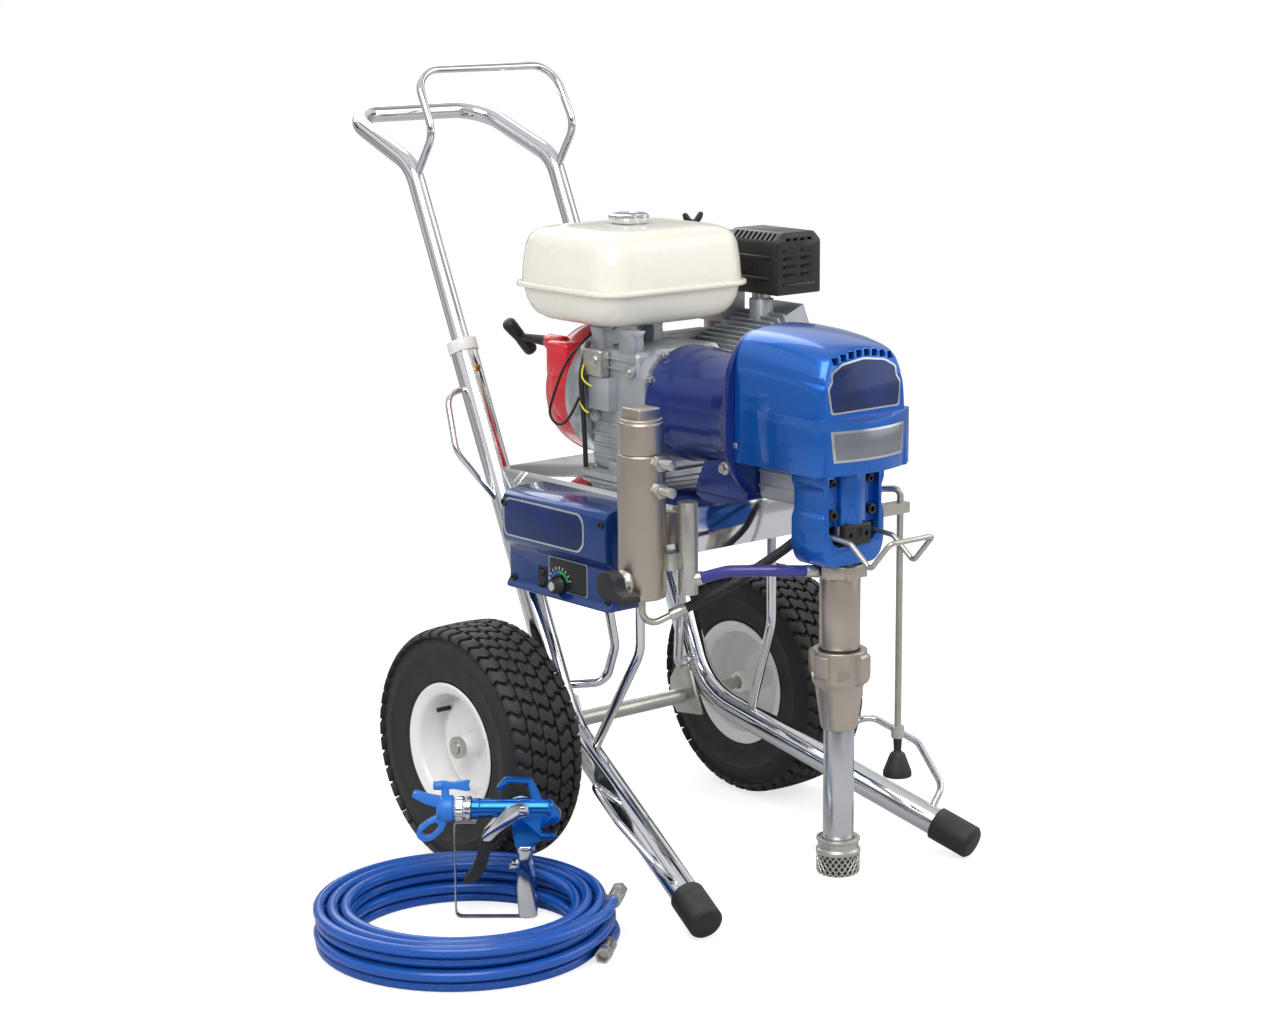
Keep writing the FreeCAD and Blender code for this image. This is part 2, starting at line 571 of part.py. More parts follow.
guard_out = block("guard_outside", ("muffler_left", "muffler_front", "muffler_low"),
                  ("muffler_right", "muffler_rear", "muffler_top"))
guard_in = block("guard_inside", ("muffler_left + guard_sheet", "muffler_front + guard_sheet",
                                  "muffler_low + guard_sheet"),
                 ("muffler_right - guard_sheet", "muffler_rear - guard_sheet",
                  "muffler_top - guard_sheet"))
pipe_hole = rod("pipe_hole", "exhaust_radius + fit_gap", "30",
                ("muffler_left + exhaust_in", "cylinder_y", "muffler_low - 10"))
piece("muffler_guard", cut("guard_holed", cut("guard_shell", guard_out, guard_in), pipe_hole))
can = rod("muffler_can", "34", "92",
          ("(muffler_left + muffler_right) / 2", "muffler_front + 8", "muffler_low + 44"), "y")
exhaust = rod("exhaust_pipe", "exhaust_radius", "30",
              ("muffler_left + exhaust_in", "cylinder_y", "port_top"))
piece("muffler", can, exhaust, joined=True)

cleaner_x = "(cleaner_left + cleaner_right) / 2"
cleaner_y = "(cleaner_front + cleaner_rear) / 2"
half_x = "(cleaner_right - cleaner_left) / 2"
half_y = "(cleaner_rear - cleaner_front) / 2"
shell = slab("cleaner_shell", [("-" + half_x, "-" + half_y), (half_x, "-" + half_y), (half_x, half_y),
                               ("-" + half_x, half_y)], "cleaner_top - cleaner_low",
             (cleaner_x, cleaner_y, "cleaner_low"), None, "16", "9")
knob_disc = rod("cleaner_knob", "15", "9", ("cleaner_left + 33", "cleaner_front + 68", "cleaner_top"))
knob_wing = block("cleaner_wing", ("cleaner_left + 18", "cleaner_front + 64", "cleaner_top"),
                  ("cleaner_left + 48", "cleaner_front + 72", "wing_top"))
piece("air_cleaner", shell, knob_disc, knob_wing, joined=True)
carb = block("carburettor_body", ("165", "cylinder_y + fin_width + rest_gap", "700"),
             ("207", "42", "cleaner_low"))
bowl = rod("float_bowl", "17", "34", ("186", "20", "666"))
unit = block("ignition_case", ("-block_half - 16", "-76", "608"), ("-block_half", "-34", "652"))
piece("engine_fittings", fuse("carburettor", carb, bowl), unit)

# Crankshaft with its flywheel and clutch rotor.
shaft = rod("crank_bar", "crank_radius", "flywheel_rear + 190", (0, "-190", "crank_z"), "y")
wheel = rod("flywheel", "flywheel_radius", "flywheel_rear - flywheel_front",
            (0, "flywheel_front", "crank_z"), "y")
rotor = rod("clutch_rotor", "58", "30", (0, "-200", "crank_z"), "y")
piece("crankshaft", shaft, wheel, rotor, joined=True)

# Drive: clutch housing on its foot, gear case, front cover and the yoke above the pump.
drum = rod("clutch_drum", "clutch_radius", "block_front - cover_plate - clutch_front - clutch_rim",
           (0, "block_front - cover_plate", "crank_z"), "-y")
flange = slab("clutch_flange", [("-70", "-92"), ("70", "-92"), ("92", "-40"), ("92", "70"),
                                ("60", "120"), ("-60", "120"), ("-92", "70"), ("-92", "-40")],
              "clutch_rim", (0, "clutch_front + clutch_rim", "crank_z"), Rotation(Vector(1, 0, 0), 90), "14")
saddle = block("clutch_foot", ("-60", "clutch_front + clutch_rim", "deck_z"),
               ("60", "-205", "crank_z - 50"))
drum_bore = rod("drum_bore", "clutch_radius - clutch_wall", "150",
                (0, "block_front - cover_plate", "crank_z"), "-y")
piece("clutch_housing", cut("clutch_shell", fuse("clutch_solid", drum, flange, saddle), drum_bore))
case = block("gear_case_body", ("-drive_half", "drive_front", "drive_low"),
             ("drive_half", "clutch_front", "drive_top"))
piece("drive_housing", case)


def shield_outline(shrink):
    """The front cover's outline seen from the front, drawn in by an amount."""
    side = "shield_half - (%s)" % shrink
    low = "shield_low - crank_z"
    high = "shield_top - crank_z - (%s)" % shrink
    return [("-(%s)" % side, low), (side, low), (side, "66"), ("(%s) - 14" % side, "(%s) - 14" % high),
            ("(%s) - 36" % side, high), ("-(%s) + 36" % side, high),
            ("-(%s) + 14" % side, "(%s) - 14" % high), ("-(%s)" % side, "66")]


front = Rotation(Vector(1, 0, 0), 90)
skin = slab("shield_skin", shield_outline("0"), "clutch_front - shield_front",
            (0, "clutch_front", "crank_z"), front, None, "10")
band = slab("shield_band", [("-shield_half - 2", "shield_low - crank_z"),
                            ("shield_half + 2", "shield_low - crank_z"),
                            ("shield_half + 2", "band_top - crank_z - 8"),
                            ("shield_half - 8", "band_top - crank_z"),
                            ("-shield_half + 8", "band_top - crank_z"),
                            ("-shield_half - 2", "band_top - crank_z - 8")],
            "60", (0, "band_front + 60", "crank_z"), front, None, "6")
pocket = slab("shield_pocket", shield_outline("shield_wall"),
              "clutch_front - shield_front - shield_wall", (0, "clutch_front", "crank_z"), front, None,
              "10 - shield_wall")
band_pocket = block("band_pocket",
                    ("-shield_half + shield_wall", "band_front + shield_wall + 6", "shield_low - 5"),
                    ("shield_half - shield_wall", "-400", "band_top - 14"))
piece("front_cover", cut("shield_open", cut("shield_shell", fuse("shield_solid", skin, band), pocket),
                         band_pocket))
yoke = slab("yoke_block", [("-38", "yoke_low"), ("38", "yoke_low"), ("yoke_half", "yoke_low + 26"),
                           ("yoke_half", "yoke_top"), ("-yoke_half", "yoke_top"),
                           ("-yoke_half", "yoke_low + 26")], "drive_front - yoke_front - rest_gap",
            (0, "drive_front - rest_gap", 0), front, "5")
window = block("yoke_window", ("-window_half", "yoke_front - 10", "window_low"),
               ("window_half", "pump_y + window_depth", "yoke_top + 10"))
throat = rod("yoke_throat", "neck_radius", "60", (0, "pump_y", "yoke_low - 10"))
link = block("yoke_link", ("-30", "drive_front - rest_gap", "yoke_low + 80"),
             ("30", "drive_front", "yoke_top"))
bail_hole = rod("bail_hole", "bail_radius + run_gap", "2 * (bail_half + bail_pin + rest_gap)",
                ("-bail_half - bail_pin - rest_gap", "bail_y", "bail_z"), "x")
yoke_open = cut("yoke_open", fuse("yoke_solid", yoke, link), window)
piece("bearing_housing", cut("yoke_drilled", cut("yoke_bored", yoke_open, throat), bail_hole))
ring = sleeve("rod_ring", "ring_radius", "ring_bore", "2 * ring_half",
              (0, "pump_y - ring_half", "ring_z"), "y")
shank = rod("rod_shank", "rod_radius", "ring_z - ring_bore - 2 - piston_z", (0, "pump_y", "piston_z"))
piston = rod("piston", "piston_radius", "22", (0, "pump_y", "piston_z"))
coupler = rod("rod_coupler", "19", "26", (0, "pump_y", "coupler_z"))
piece("piston_rod", ring, shank, piston, coupler, joined=True)

barrel = rod("pump_barrel", "pump_radius", "pump_top - pump_low", (0, "pump_y", "pump_low"))
neck = rod("pump_neck", "neck_radius", "neck_top - pump_top", (0, "pump_y", "pump_top"))
chamber = rod("pump_chamber", "piston_radius + run_gap", "pump_top - pump_low - 12",
              (0, "pump_y", "pump_low"))
seal = rod("pump_seal", "rod_radius + run_gap", "200", (0, "pump_y", "pump_low"))
piece("pump_cylinder", cut("pump_sealed", cut("pump_bored", fuse("pump_solid", barrel, neck), chamber), seal))
nut_body = hexagon("jam_nut_body", "jam_nut", "yoke_low - pump_top", (0, "pump_y", "pump_top"))
nut_hole = rod("jam_nut_hole", "neck_radius", "60", (0, "pump_y", "pump_top - 10"))
piece("pump_nut", cut("jam_nut_bored", nut_body, nut_hole))
seat = turned("intake_body", [("valve_low - 14", "valve_low_z"), ("valve_low", "valve_low_z"),
                              ("valve_low + 9", "pump_low - 46"), ("valve_top - 6", "pump_low - 40"),
                              ("valve_top - 6", "pump_low"), ("valve_low - 14", "pump_low")],
              (0, "pump_y", 0), "z")
lugs = hexagon("intake_lugs", "valve_top", "16", (0, "pump_y", "pump_low - 40"))
lug_bore = rod("lug_bore", "valve_low", "40", (0, "pump_y", "pump_low - 50"))
piece("intake_valve", seat, cut("intake_lug_ring", lugs, lug_bore), joined=True)
piece("suction_tube", sleeve("suction_pipe", "suction_radius", "suction_radius - suction_wall",
                             "valve_low_z - suction_low", (0, "pump_y", "suction_low")))
mesh = turned("strainer_cup", [("0", "strainer_low"), ("strainer_radius - 4", "strainer_low"),
                               ("strainer_radius", "strainer_low + 4"),
                               ("strainer_radius", "strainer_top - 8"),
                               ("suction_radius + 3", "strainer_top"),
                               ("suction_radius", "strainer_top"),
                               ("suction_radius", "strainer_top - 16"),
                               ("strainer_radius - 4", "strainer_top - 18"),
                               ("strainer_radius - 4", "strainer_low + 4"), ("0", "strainer_low + 4")],
              (0, "pump_y", 0), "z")
piece("strainer", mesh)

# Drain line: pipe from the manifold, its hose, and the riser with nut and deflector over the pail.
manifold = Vector(size("manifold_x"), size("manifold_y"), 0)
pump = Vector(0, size("pump_y"), 0)
drain_heading = Vector(110, -58, 52).normalize()
drain_corner = manifold + UP * 360
drain_start = drain_corner + drain_heading * 40
riser_top = Vector(size("drain_x"), pump.y, size("drain_elbow_z"))
drain_end = Vector(size("drain_end_x"), size("drain_end_y"), size("drain_end_z"))
pipe = bent_rod("drain_pipe_low", [manifold + UP * size("manifold_low"), drain_corner, drain_start],
                [16], "drain_radius")
ferrule = rod("drain_ferrule", "drain_hose + 1.5", "22", [number for number in drain_start], drain_heading)
riser_turn = Vector(96, -410, 528)
riser_heading = (riser_turn - drain_end).normalize()
riser = bent_rod("drain_riser", [drain_end, riser_turn, riser_top,
                                 Vector(riser_top.x, riser_top.y, size("drain_nut_z"))], [14, 9],
                 "drain_radius")
nut = hexagon("drain_nut", "9", "16", ("drain_x", "pump_y", "drain_nut_z"))
clip = block("drain_clip", ("yoke_half", "pump_y - 9", "498"), ("drain_x + 9", "pump_y + 9", "512"))
riser_hole = rod("riser_hole", "drain_radius", "40", ("drain_x", "pump_y", "490"))
piece("drain_pipes", fuse("drain_pipe_end", pipe, ferrule), fuse("drain_riser_end", riser, nut),
      cut("drain_clip_bored", clip, riser_hole))
cone = turned("deflector_cone", [("0", "drain_nut_z"), ("6", "drain_nut_z"), ("5", "drain_nut_z - 18"),
                                 ("10", "drain_nut_z - 22"), ("deflector_radius", "deflector_low + 6"),
                                 ("deflector_radius", "deflector_low"), ("0", "deflector_low")],
              ("drain_x", "pump_y", 0), "z")
piece("drain_deflector", cone)
hose_start = drain_start + drain_heading * 22
piece("drain_hose", bent_rod("drain_hose_tube", [hose_start, hose_start + drain_heading * 60,
                                                 Vector(0, -338, 455), drain_end - riser_heading * 30,
                                                 drain_end], [160, 140, 60], "drain_hose"))

# Manifold: filter housing with its cap, outlet fittings and pressure sensor.
filter_body = rod("filter_body", "manifold_radius", "manifold_top - manifold_low",
                  ("manifold_x", "manifold_y", "manifold_low"))
filter_bore = rod("filter_bore", "manifold_bore", "manifold_top - manifold_low",
                  ("manifold_x", "manifold_y", "manifold_low + 20"))
foot_block = block("manifold_foot", ("manifold_x", "manifold_y - 16", "deck_z - 46"),
                   ("-deck_half", "manifold_y + 16", "deck_z - 6"))
stem_hole = rod("stem_hole", "stem_radius + run_gap", "20",
                ("manifold_x - manifold_radius + 8 + rest_gap", "manifold_y", "valve_z"), "-x")
filter_solid = fuse("filter_solid", filter_body, foot_block)
piece("filter_housing", cut("filter_drilled", cut("filter_bored", filter_solid, filter_bore), stem_hole))
grip_ring = rod("filter_cap_grip", "filter_cap", "filter_cap_top - manifold_top",
                ("manifold_x", "manifold_y", "manifold_top"))
plug = block("filter_plug", ("manifold_x - plug_half", "manifold_y - plug_half", "filter_cap_top"),
             ("manifold_x + plug_half", "manifold_y + plug_half", "plug_top"))
spigot = rod("filter_spigot", "manifold_bore - rest_gap", "24",
             ("manifold_x", "manifold_y", "manifold_top - 24"))
piece("filter_cap", grip_ring, plug, spigot, joined=True)
fittings = []
for label, height in (("high", "outlet_high"), ("low", "outlet_low")):
    base = hexagon("outlet_nut_" + label, "11", "13",
                   ("manifold_x", "manifold_y - manifold_radius + 3", height), "-y")
    nipple = rod("outlet_nipple_" + label, "outlet_radius", "outlet_length",
                 ("manifold_x", "manifold_y - manifold_radius", height), "-y")
    wall = rod("outlet_seat_" + label, "manifold_radius", "60",
               ("manifold_x", "manifold_y", height + " - 30"))
    fittings.append(cut("outlet_seated_" + label, fuse("outlet_" + label, base, nipple), wall))
sensor = rod("sensor_can", "sensor_radius", "sensor_height", ("sensor_x", "sensor_y", "sensor_low"))
sensor_link = block("sensor_link", ("sensor_x - 28", "sensor_y + 6", "sensor_low + 32"),
                    ("sensor_x", "sensor_y + 26", "sensor_low + 54"))
sensor_wall = rod("sensor_wall", "manifold_radius", "sensor_height",
                  ("manifold_x", "manifold_y", "sensor_low"))
union_way = Vector(0.55, -0.78, 0.3).normalize()
union_at = Vector(size("sensor_x"), size("sensor_y"), size("union_z"))
hose_union = rod("hose_union", "9", "20", list(union_at), union_way)
pump_hose_start = union_at + union_way * 20
pump_port = Vector(size("port_x"), size("port_y"), size("port_z"))
pump_turn = Vector(-86, -398, 444)
port = rod("pump_port", "8", "22", [number for number in pump_port], (pump_port - pump_turn).normalize())
port_trim = hexagon("pump_port_trim", "jam_nut", "yoke_low - pump_top + 20", (0, "pump_y", "pump_top - 20"))
piece("outlet_fittings", *fittings,
      cut("pressure_sensor", fuse("sensor_solid", sensor, sensor_link, hose_union), sensor_wall),
      cut("pump_port_cut", port, port_trim))
piece("pump_hose", bent_rod("pump_hose_tube", [pump_hose_start, pump_hose_start + union_way * 34,
                                               pump_turn, pump_port], [60, 50],
                            "hose_radius"))

# Control box on the near side of the deck, with its switch and pressure knob.
profile = [("-deck_half", "box_top"), ("-188", "box_top"), ("box_face", "box_top - 8"),
           ("box_face", "box_top - 74"), ("panel_x", "panel_top"), ("panel_x", "box_low + 10"),
           ("box_face + 6", "box_low"), ("-deck_half", "box_low")]
case_turn = Rotation(Vector(1, 0, 0), 90)
case = slab("control_case", profile, "box_rear - box_front", (0, "box_rear", 0), case_turn)
room = block("control_room", ("panel_x + 4", "box_front + 4", "box_low + 4"),
             ("-deck_half - 4", "box_rear - 4", "box_top - 5"))
switch_hole = block("switch_hole", ("-220", "rocker_y - rocker_half - rest_gap", "rocker_z - 13"),
                    ("panel_x + 10", "rocker_y + rocker_half + rest_gap", "rocker_z + 13"))
switch_pin = rod("switch_pin", "rocker_pin", "2 * (rocker_half + rest_gap + 2)",
                 ("rocker_pin_x", "rocker_y - rocker_half - rest_gap - 2", "rocker_z"), "y")
knob_hole = rod("knob_hole", "3 + run_gap", "40", ("-220", "dial_y", "dial_z"), "x")
opened = cut("control_opened", cut("control_hollow", case, room), switch_hole)
piece("control_box", fuse("control_pinned", cut("control_drilled", opened, knob_hole), switch_pin))
dial_plate = block("dial_plate_sheet", ("panel_x - 1.5", "-152", "box_low + 12"),
                   ("panel_x", "-74", "panel_top - 3"))
dial_hole = rod("dial_hole", "3 + run_gap", "40", ("-220", "dial_y", "dial_z"), "x")
piece("dial_plate", cut("dial_plate_drilled", dial_plate, dial_hole))
knob = rod("knob_body", "dial_radius", "14", ("panel_x - 1.5 - rest_gap", "dial_y", "dial_z"), "-x")
spindle = rod("knob_spindle", "3", "8", ("panel_x + 6", "dial_y", "dial_z"), "-x")
piece("pressure_knob", knob, spindle, joined=True)
rocker = slab("rocker_body", [("6", "-11"), ("6", "11"), ("-2", "12"), ("-4.5", "0"), ("-2", "-12")],
              "2 * rocker_half", ("panel_x", "rocker_y + rocker_half", "rocker_z"),
              Rotation(Vector(1, 0, 0), 90))
rocker_bore = rod("rocker_bore", "rocker_pin + run_gap", "2 * rocker_half + 4",
                  ("rocker_pin_x", "rocker_y - rocker_half - 2", "rocker_z"), "y")
piece("power_switch", cut("rocker_bored", rocker, rocker_bore))

# Prime valve on the manifold, with a lever knob.
stem_rod = rod("valve_stem", "stem_radius", "20",
               ("manifold_x - manifold_radius + 8", "manifold_y", "valve_z"), "-x")
knob_round = rod("valve_knob_round", "valve_knob - 5", "20",
                 ("manifold_x - manifold_radius - 10", "manifold_y", "valve_z"), "-x")
lever = block("valve_lever", ("manifold_x - manifold_radius - 28", "manifold_y - 10", "valve_z - 34"),
              ("manifold_x - manifold_radius - 14", "manifold_y + 10", "valve_z + 18"))
piece("prime_valve_knob", stem_rod, knob_round, lever, joined=True)

# Bail of zinc wire that a pail hangs on, pivoted in the yoke.
bail_half = size("bail_half")
pivot = Vector(bail_half, size("bail_y"), size("bail_z"))
arm = [pivot + Vector(size("bail_pin"), 0, 0), pivot, pivot + Vector(0, -42, -2), pivot + Vector(0, -79, -30),
       pivot + Vector(0, -113, 8)]
loop = arm + [Vector(-point.x, point.y, point.z) for point in reversed(arm)]
piece("pail_hook", bent_rod("pail_wire", loop, [6, 14, 7, 7, 7, 7, 14, 6], "bail_radius"))

# Wheels: a tyre and a pressed rim with its hub tube.
bead = "rim_barrel + 1 + rest_gap"
for label, side in SIDES:
    centre = ("%d * wheel_x" % side, 0, "axle_z")
    tread = turned("tyre_%s_body" % label,
                   [(bead, "rim_half - rim_sheet - 3 - rest_gap"),
                    ("rim_flange + 2", "rim_half - rim_sheet - rest_gap"), ("112", "tyre_half - 3"),
                    ("132", "tyre_half"), ("150", "tyre_half - 1.5"), ("161", "tyre_half - 9"),
                    ("tyre_radius", "tyre_half - 20"), ("tyre_radius", "-tyre_half + 20"),
                    ("161", "-tyre_half + 9"), ("150", "-tyre_half + 1.5"), ("132", "-tyre_half"),
                    ("112", "-tyre_half + 3"), ("rim_flange + 2", "-rim_half + rim_sheet + rest_gap"),
                    (bead, "-rim_half + rim_sheet + 3 + rest_gap"), (bead, "-tyre_half + 22"),
                    ("108", "-tyre_half + 14"),
                    ("140", "-tyre_half + 12"), ("152", "-tyre_half + 24"),
                    ("152", "tyre_half - 24"), ("140", "tyre_half - 12"), ("108", "tyre_half - 14"),
                    (bead, "tyre_half - 22")], centre, "x" if side > 0 else "-x")
    piece("tyre_" + label, tread)
    pressed = turned("rim_%s_body" % label,
                     [("axle_radius + run_gap", "-hub_half - 20"), ("hub_radius", "-hub_half - 20"),
                      ("hub_radius", "2"), ("rim_barrel - 30", "6"),
                      ("rim_barrel - rim_sheet", "-2"), ("rim_barrel - rim_sheet", "-rim_half + 4"),
                      ("rim_flange", "-rim_half"), ("rim_flange", "-rim_half + rim_sheet"),
                      ("rim_barrel + 1", "-rim_half + rim_sheet + 3"),
                      ("rim_barrel + 1", "rim_half - rim_sheet - 3"), ("rim_flange", "rim_half - rim_sheet"),
                      ("rim_flange", "rim_half"), ("rim_barrel - rim_sheet", "rim_half - 4"),
                      ("rim_barrel - rim_sheet", "2 + rim_sheet"), ("rim_barrel - 30", "6 + rim_sheet"),
                      ("hub_radius", "2 + rim_sheet"), ("hub_radius", "hub_half"),
                      ("axle_radius + run_gap", "hub_half")], centre, "x" if side > 0 else "-x")
    piece("rim_" + label, pressed)

# Telescopic handle: a U of tube in the sockets, and a lighter loop welded across its bends.
low_end = socket - slope * size("handle_insert")
bend = socket + slope * ((size("handle_bend_z") - socket.z) / slope.z)
bar = Vector(size("bar_half"), size("bar_y"), size("bar_z"))
side_points = [low_end, bend, bar]
handle_points = side_points + [mirrored(point, -1) for point in reversed(side_points)]
handle_tube = bent_tube("handle_tube", handle_points, [60, 55, 55, 60], "handle_radius",
                        "handle_radius - handle_wall")
kink = [Vector(half, bend.y - 14, bend.z - 8), Vector(half, 262, 964), Vector(half - 3, 308, 1049)]
loop_points = kink + [mirrored(point, -1) for point in reversed(kink)]
loop_rod = bent_rod("handle_loop", loop_points, [34, 40, 40, 34], "loop_radius")
plugs = [rod("handle_plug_%s" % label, "frame_tube - frame_wall - fit_gap", "12",
             [number for number in mirrored(low_end, side) - slope * 12], slope)
         for label, side in SIDES]
piece("handle", handle_tube, loop_rod, *plugs, joined=True)

# Spray gun, drawn in its own frame with +X forward along the barrel, then turned on the floor.
gun_turn = Rotation(UP, size("gun_turn"))
gun_place = Placement(Vector(size("gun_x"), size("gun_y"), 0), gun_turn)


def on_gun(name, *parts, joined=False):
    """A sub-part of the gun, moved from the gun's own frame to its place."""
    whole = fuse(name + "_whole", *parts) if joined and len(parts) > 1 else group(name + "_set", *parts)
    whole.Placement = gun_place
    return piece(name, whole)


body_tube = rod("gun_barrel_tube", "gun_barrel", "102", ("-34", 0, "gun_axis_z"), "x")
pin_at = ("2", "-(gun_barrel + trigger_gap + trigger_plate)", "gun_axis_z + 2")
pin_length = "2 * (gun_barrel + trigger_gap + trigger_plate)"
pin_hole = rod("gun_pin_hole", "pin_radius + run_gap", pin_length, pin_at, "y")
body_neck = block("gun_neck", ("-grip_half + 3", "-grip_width", "grip_top"),
                  ("grip_half", "grip_width", "gun_axis_z"))
tail = taper("gun_tail", "10", "gun_barrel", "24", ("-40", 0, "gun_axis_z - 12"), Vector(1, 0, 0.3))
hang = bent_rod("gun_hook",
                [Vector(-18, 0, 152), Vector(-4, 0, 183), Vector(22, 0, 183), Vector(30, 0, 172)], [8, 6],
                "trigger_plate + 1")
on_gun("gun_body", cut("gun_body_bored", fuse("gun_body_solid", body_tube, body_neck, tail, hang), pin_hole))
grip_low = slab("gun_grip_body", [("-grip_half", "-grip_width"), ("grip_half", "-grip_width"),
                                  ("grip_half", "grip_width"), ("-grip_half", "grip_width")],
                "grip_top - strip_thick", (0, 0, "strip_thick"), None, "7")
inlet = rod("gun_inlet", "outlet_radius", "strip_thick", (0, 0, 0))
on_gun("gun_grip", grip_low, inlet, joined=True)
strip_low = block("strip_floor", ("outlet_radius", "-strip_width / 2", 0),
                  ("strip_x", "strip_width / 2", "strip_thick"))
strip_front = block("strip_front", ("strip_x - strip_thick", "-strip_width / 2", 0),
                    ("strip_x", "strip_width / 2", "gun_axis_z - gun_barrel - 4"))
strip_top = block("strip_top", ("62", "-strip_width / 2", "gun_axis_z - gun_barrel - 4 - strip_thick"),
                  ("strip_x", "strip_width / 2", "gun_axis_z - gun_barrel - 4"))
strip_tab = block("strip_tab", ("62", "-strip_width / 2", "gun_axis_z - gun_barrel - 4 - strip_thick"),
                  ("62 + strip_thick", "strip_width / 2", "gun_axis_z - gun_barrel"))
on_gun("gun_guard", strip_low, strip_front, strip_top, strip_tab, joined=True)
nut_ring = rod("gun_nut", "gun_barrel + 3", "22", ("68", 0, "gun_axis_z"), "x")
head = rod("gun_guard_head", "gun_barrel + 4", "22", ("90", 0, "gun_axis_z"), "x")
low_route = [Vector(104, 0, 134), Vector(132, 0, 118), Vector(132, 0, 106), Vector(108, 0, 118)]
high_route = [Vector(110, 0, 150), Vector(126, 0, 156), Vector(138, 0, 160)]
wing_low = bent_rod("tip_wing_low", low_route, [4, 4], "trigger_plate")
wing_high = bent_rod("tip_wing_high", high_route, [20], "trigger_plate + 0.5")
guard_solid = fuse("tip_guard_solid", nut_ring, head, wing_low, wing_high)
tip_hole = rod("tip_hole", "tip_radius + run_gap", "80", ("tip_x", 0, "gun_axis_z - 10"))
spray_hole = rod("spray_hole", "3", "30", ("tip_x", 0, "gun_axis_z"), "x")
on_gun("gun_tip_guard", cut("tip_guard_sprayed", cut("tip_guard_bored", guard_solid, tip_hole), spray_hole))
tip_barrel = rod("tip_barrel", "tip_radius", "34", ("tip_x", 0, "gun_axis_z - 9"))
tip_flag = block("tip_flag", ("tip_x - 32", "-3.5", "gun_axis_z + 24"),
                 ("tip_x + 8", "3.5", "gun_axis_z + 36"))
on_gun("gun_tip", tip_barrel, tip_flag, joined=True)
cheeks = []
edgewise = Rotation(Vector(1, 0, 0), 90)
for label, side in SIDES:
    face = "gun_barrel + trigger_gap + trigger_plate" if side > 0 else "-gun_barrel - trigger_gap"
    cheeks.append(slab("trigger_cheek_" + label,
                       [("-7", "-6"), ("4", "-10"), ("44", "-42"), ("52", "-38"), ("22", "2"),
                        ("4", "10"), ("-6", "6")],
                       "trigger_plate", ("2", face, "gun_axis_z + 2"), edgewise))
pad = slab("trigger_pad", [("42", "-34"), ("54", "-36"), ("62", "-70"), ("78", "-96"), ("66", "-98"),
                           ("50", "-74")],
           "2 * (gun_barrel + trigger_gap + trigger_plate)",
           ("2", "gun_barrel + trigger_gap + trigger_plate", "gun_axis_z + 2"), edgewise)
pivot_pin = rod("trigger_pin", "pin_radius", pin_length, pin_at, "y")
on_gun("gun_trigger", *cheeks, pad, pivot_pin, joined=True)

# Spray hose: half turns drawn in and out on each layer, climbing a layer where the spiral reverses.
def biarc(start, heading, finish, arrival):
    """Two arcs that join two points and meet their headings."""
    span = finish - start
    blend = heading + arrival
    spread = 2 * (1 - heading.dot(arrival))
    if abs(spread) < 1e-9:
        reach = span.Length / 4
    else:
        lean_in = span.dot(blend)
        reach = (-lean_in + math.sqrt(lean_in ** 2 + spread * span.dot(span))) / spread
    first = start + heading * reach
    last = finish - arrival * reach
    joint = (first + last) * 0.5
    return [arc_between(start, first, joint), arc_between(joint, last, finish)]


coil_centre = Vector(size("coil_x"), size("coil_y"), 0)
stations = []
radius = size("coil_outer")
height = size("coil_base")
angle = math.radians(START_ANGLE)
stations.append((angle - math.pi / 2, radius + 4, height + size("coil_lift")))
stations.append((angle, radius, height))
inward = -1
for layer in range(LAYERS):
    for number in range(HALF_TURNS):
        angle += math.pi
        radius += inward * size("coil_step") / 2
        stations.append((angle, radius, height))
    inward = -inward
    if layer < LAYERS - 1:
        angle += math.pi
        height += size("coil_rise")
        stations.append((angle, radius, height))
stations.append((angle + math.pi / 2, radius + 4, height + size("coil_lift")))


def coil_point(angle, radius, height):
    """A point of the coil at an angle, radius and height."""
    return coil_centre + Vector(radius * math.cos(angle), radius * math.sin(angle), height)


def coil_heading(angle):
    """The way the hose runs there."""
    return Vector(-math.sin(angle), math.cos(angle), 0)


coil_edges = []
lead = 2 * size("coil_tube")
first_point = coil_point(*stations[0])
coil_start = first_point - coil_heading(stations[0][0]) * lead
coil_edges.append(Part.LineSegment(coil_start, first_point).toShape())
for here, there in zip(stations, stations[1:]):
    for arc in biarc(coil_point(*here), coil_heading(here[0]), coil_point(*there),
                     coil_heading(there[0])):
        coil_edges.append(arc.toShape())
last_point = coil_point(*stations[-1])
coil_end = last_point + coil_heading(stations[-1][0]) * lead
coil_edges.append(Part.LineSegment(last_point, coil_end).toShape())
coil_path = Part.Wire(coil_edges)
ring_profile = Part.Wire([Part.Circle(coil_start, coil_heading(stations[0][0]), size("coil_tube")).toShape()])
coil_solid = coil_path.makePipeShell([ring_profile], True, False)
coil_feature = doc.addObject("Part::Feature", "hose_coil_tube")
coil_feature.Shape = coil_solid
piece("hose_coil", coil_feature)

samples = []
travelled = 0.0
for edge in coil_edges:
    steps = max(2, int(edge.Length / 5))
    for number in range(steps):
        samples.append((travelled + edge.Length * number / steps,
                        edge.valueAt(edge.getParameterByLength(edge.Length * number / steps))))
    travelled += edge.Length
least = min((one[1] - other[1]).Length for place_one, one in enumerate(samples)
            for other in samples[place_one + 1:] if other[0] - one[0] > 60)
print("hose coil: length %.0f mm, least gap to itself %.2f mm" % (travelled, least - 2 * size("coil_tube")))

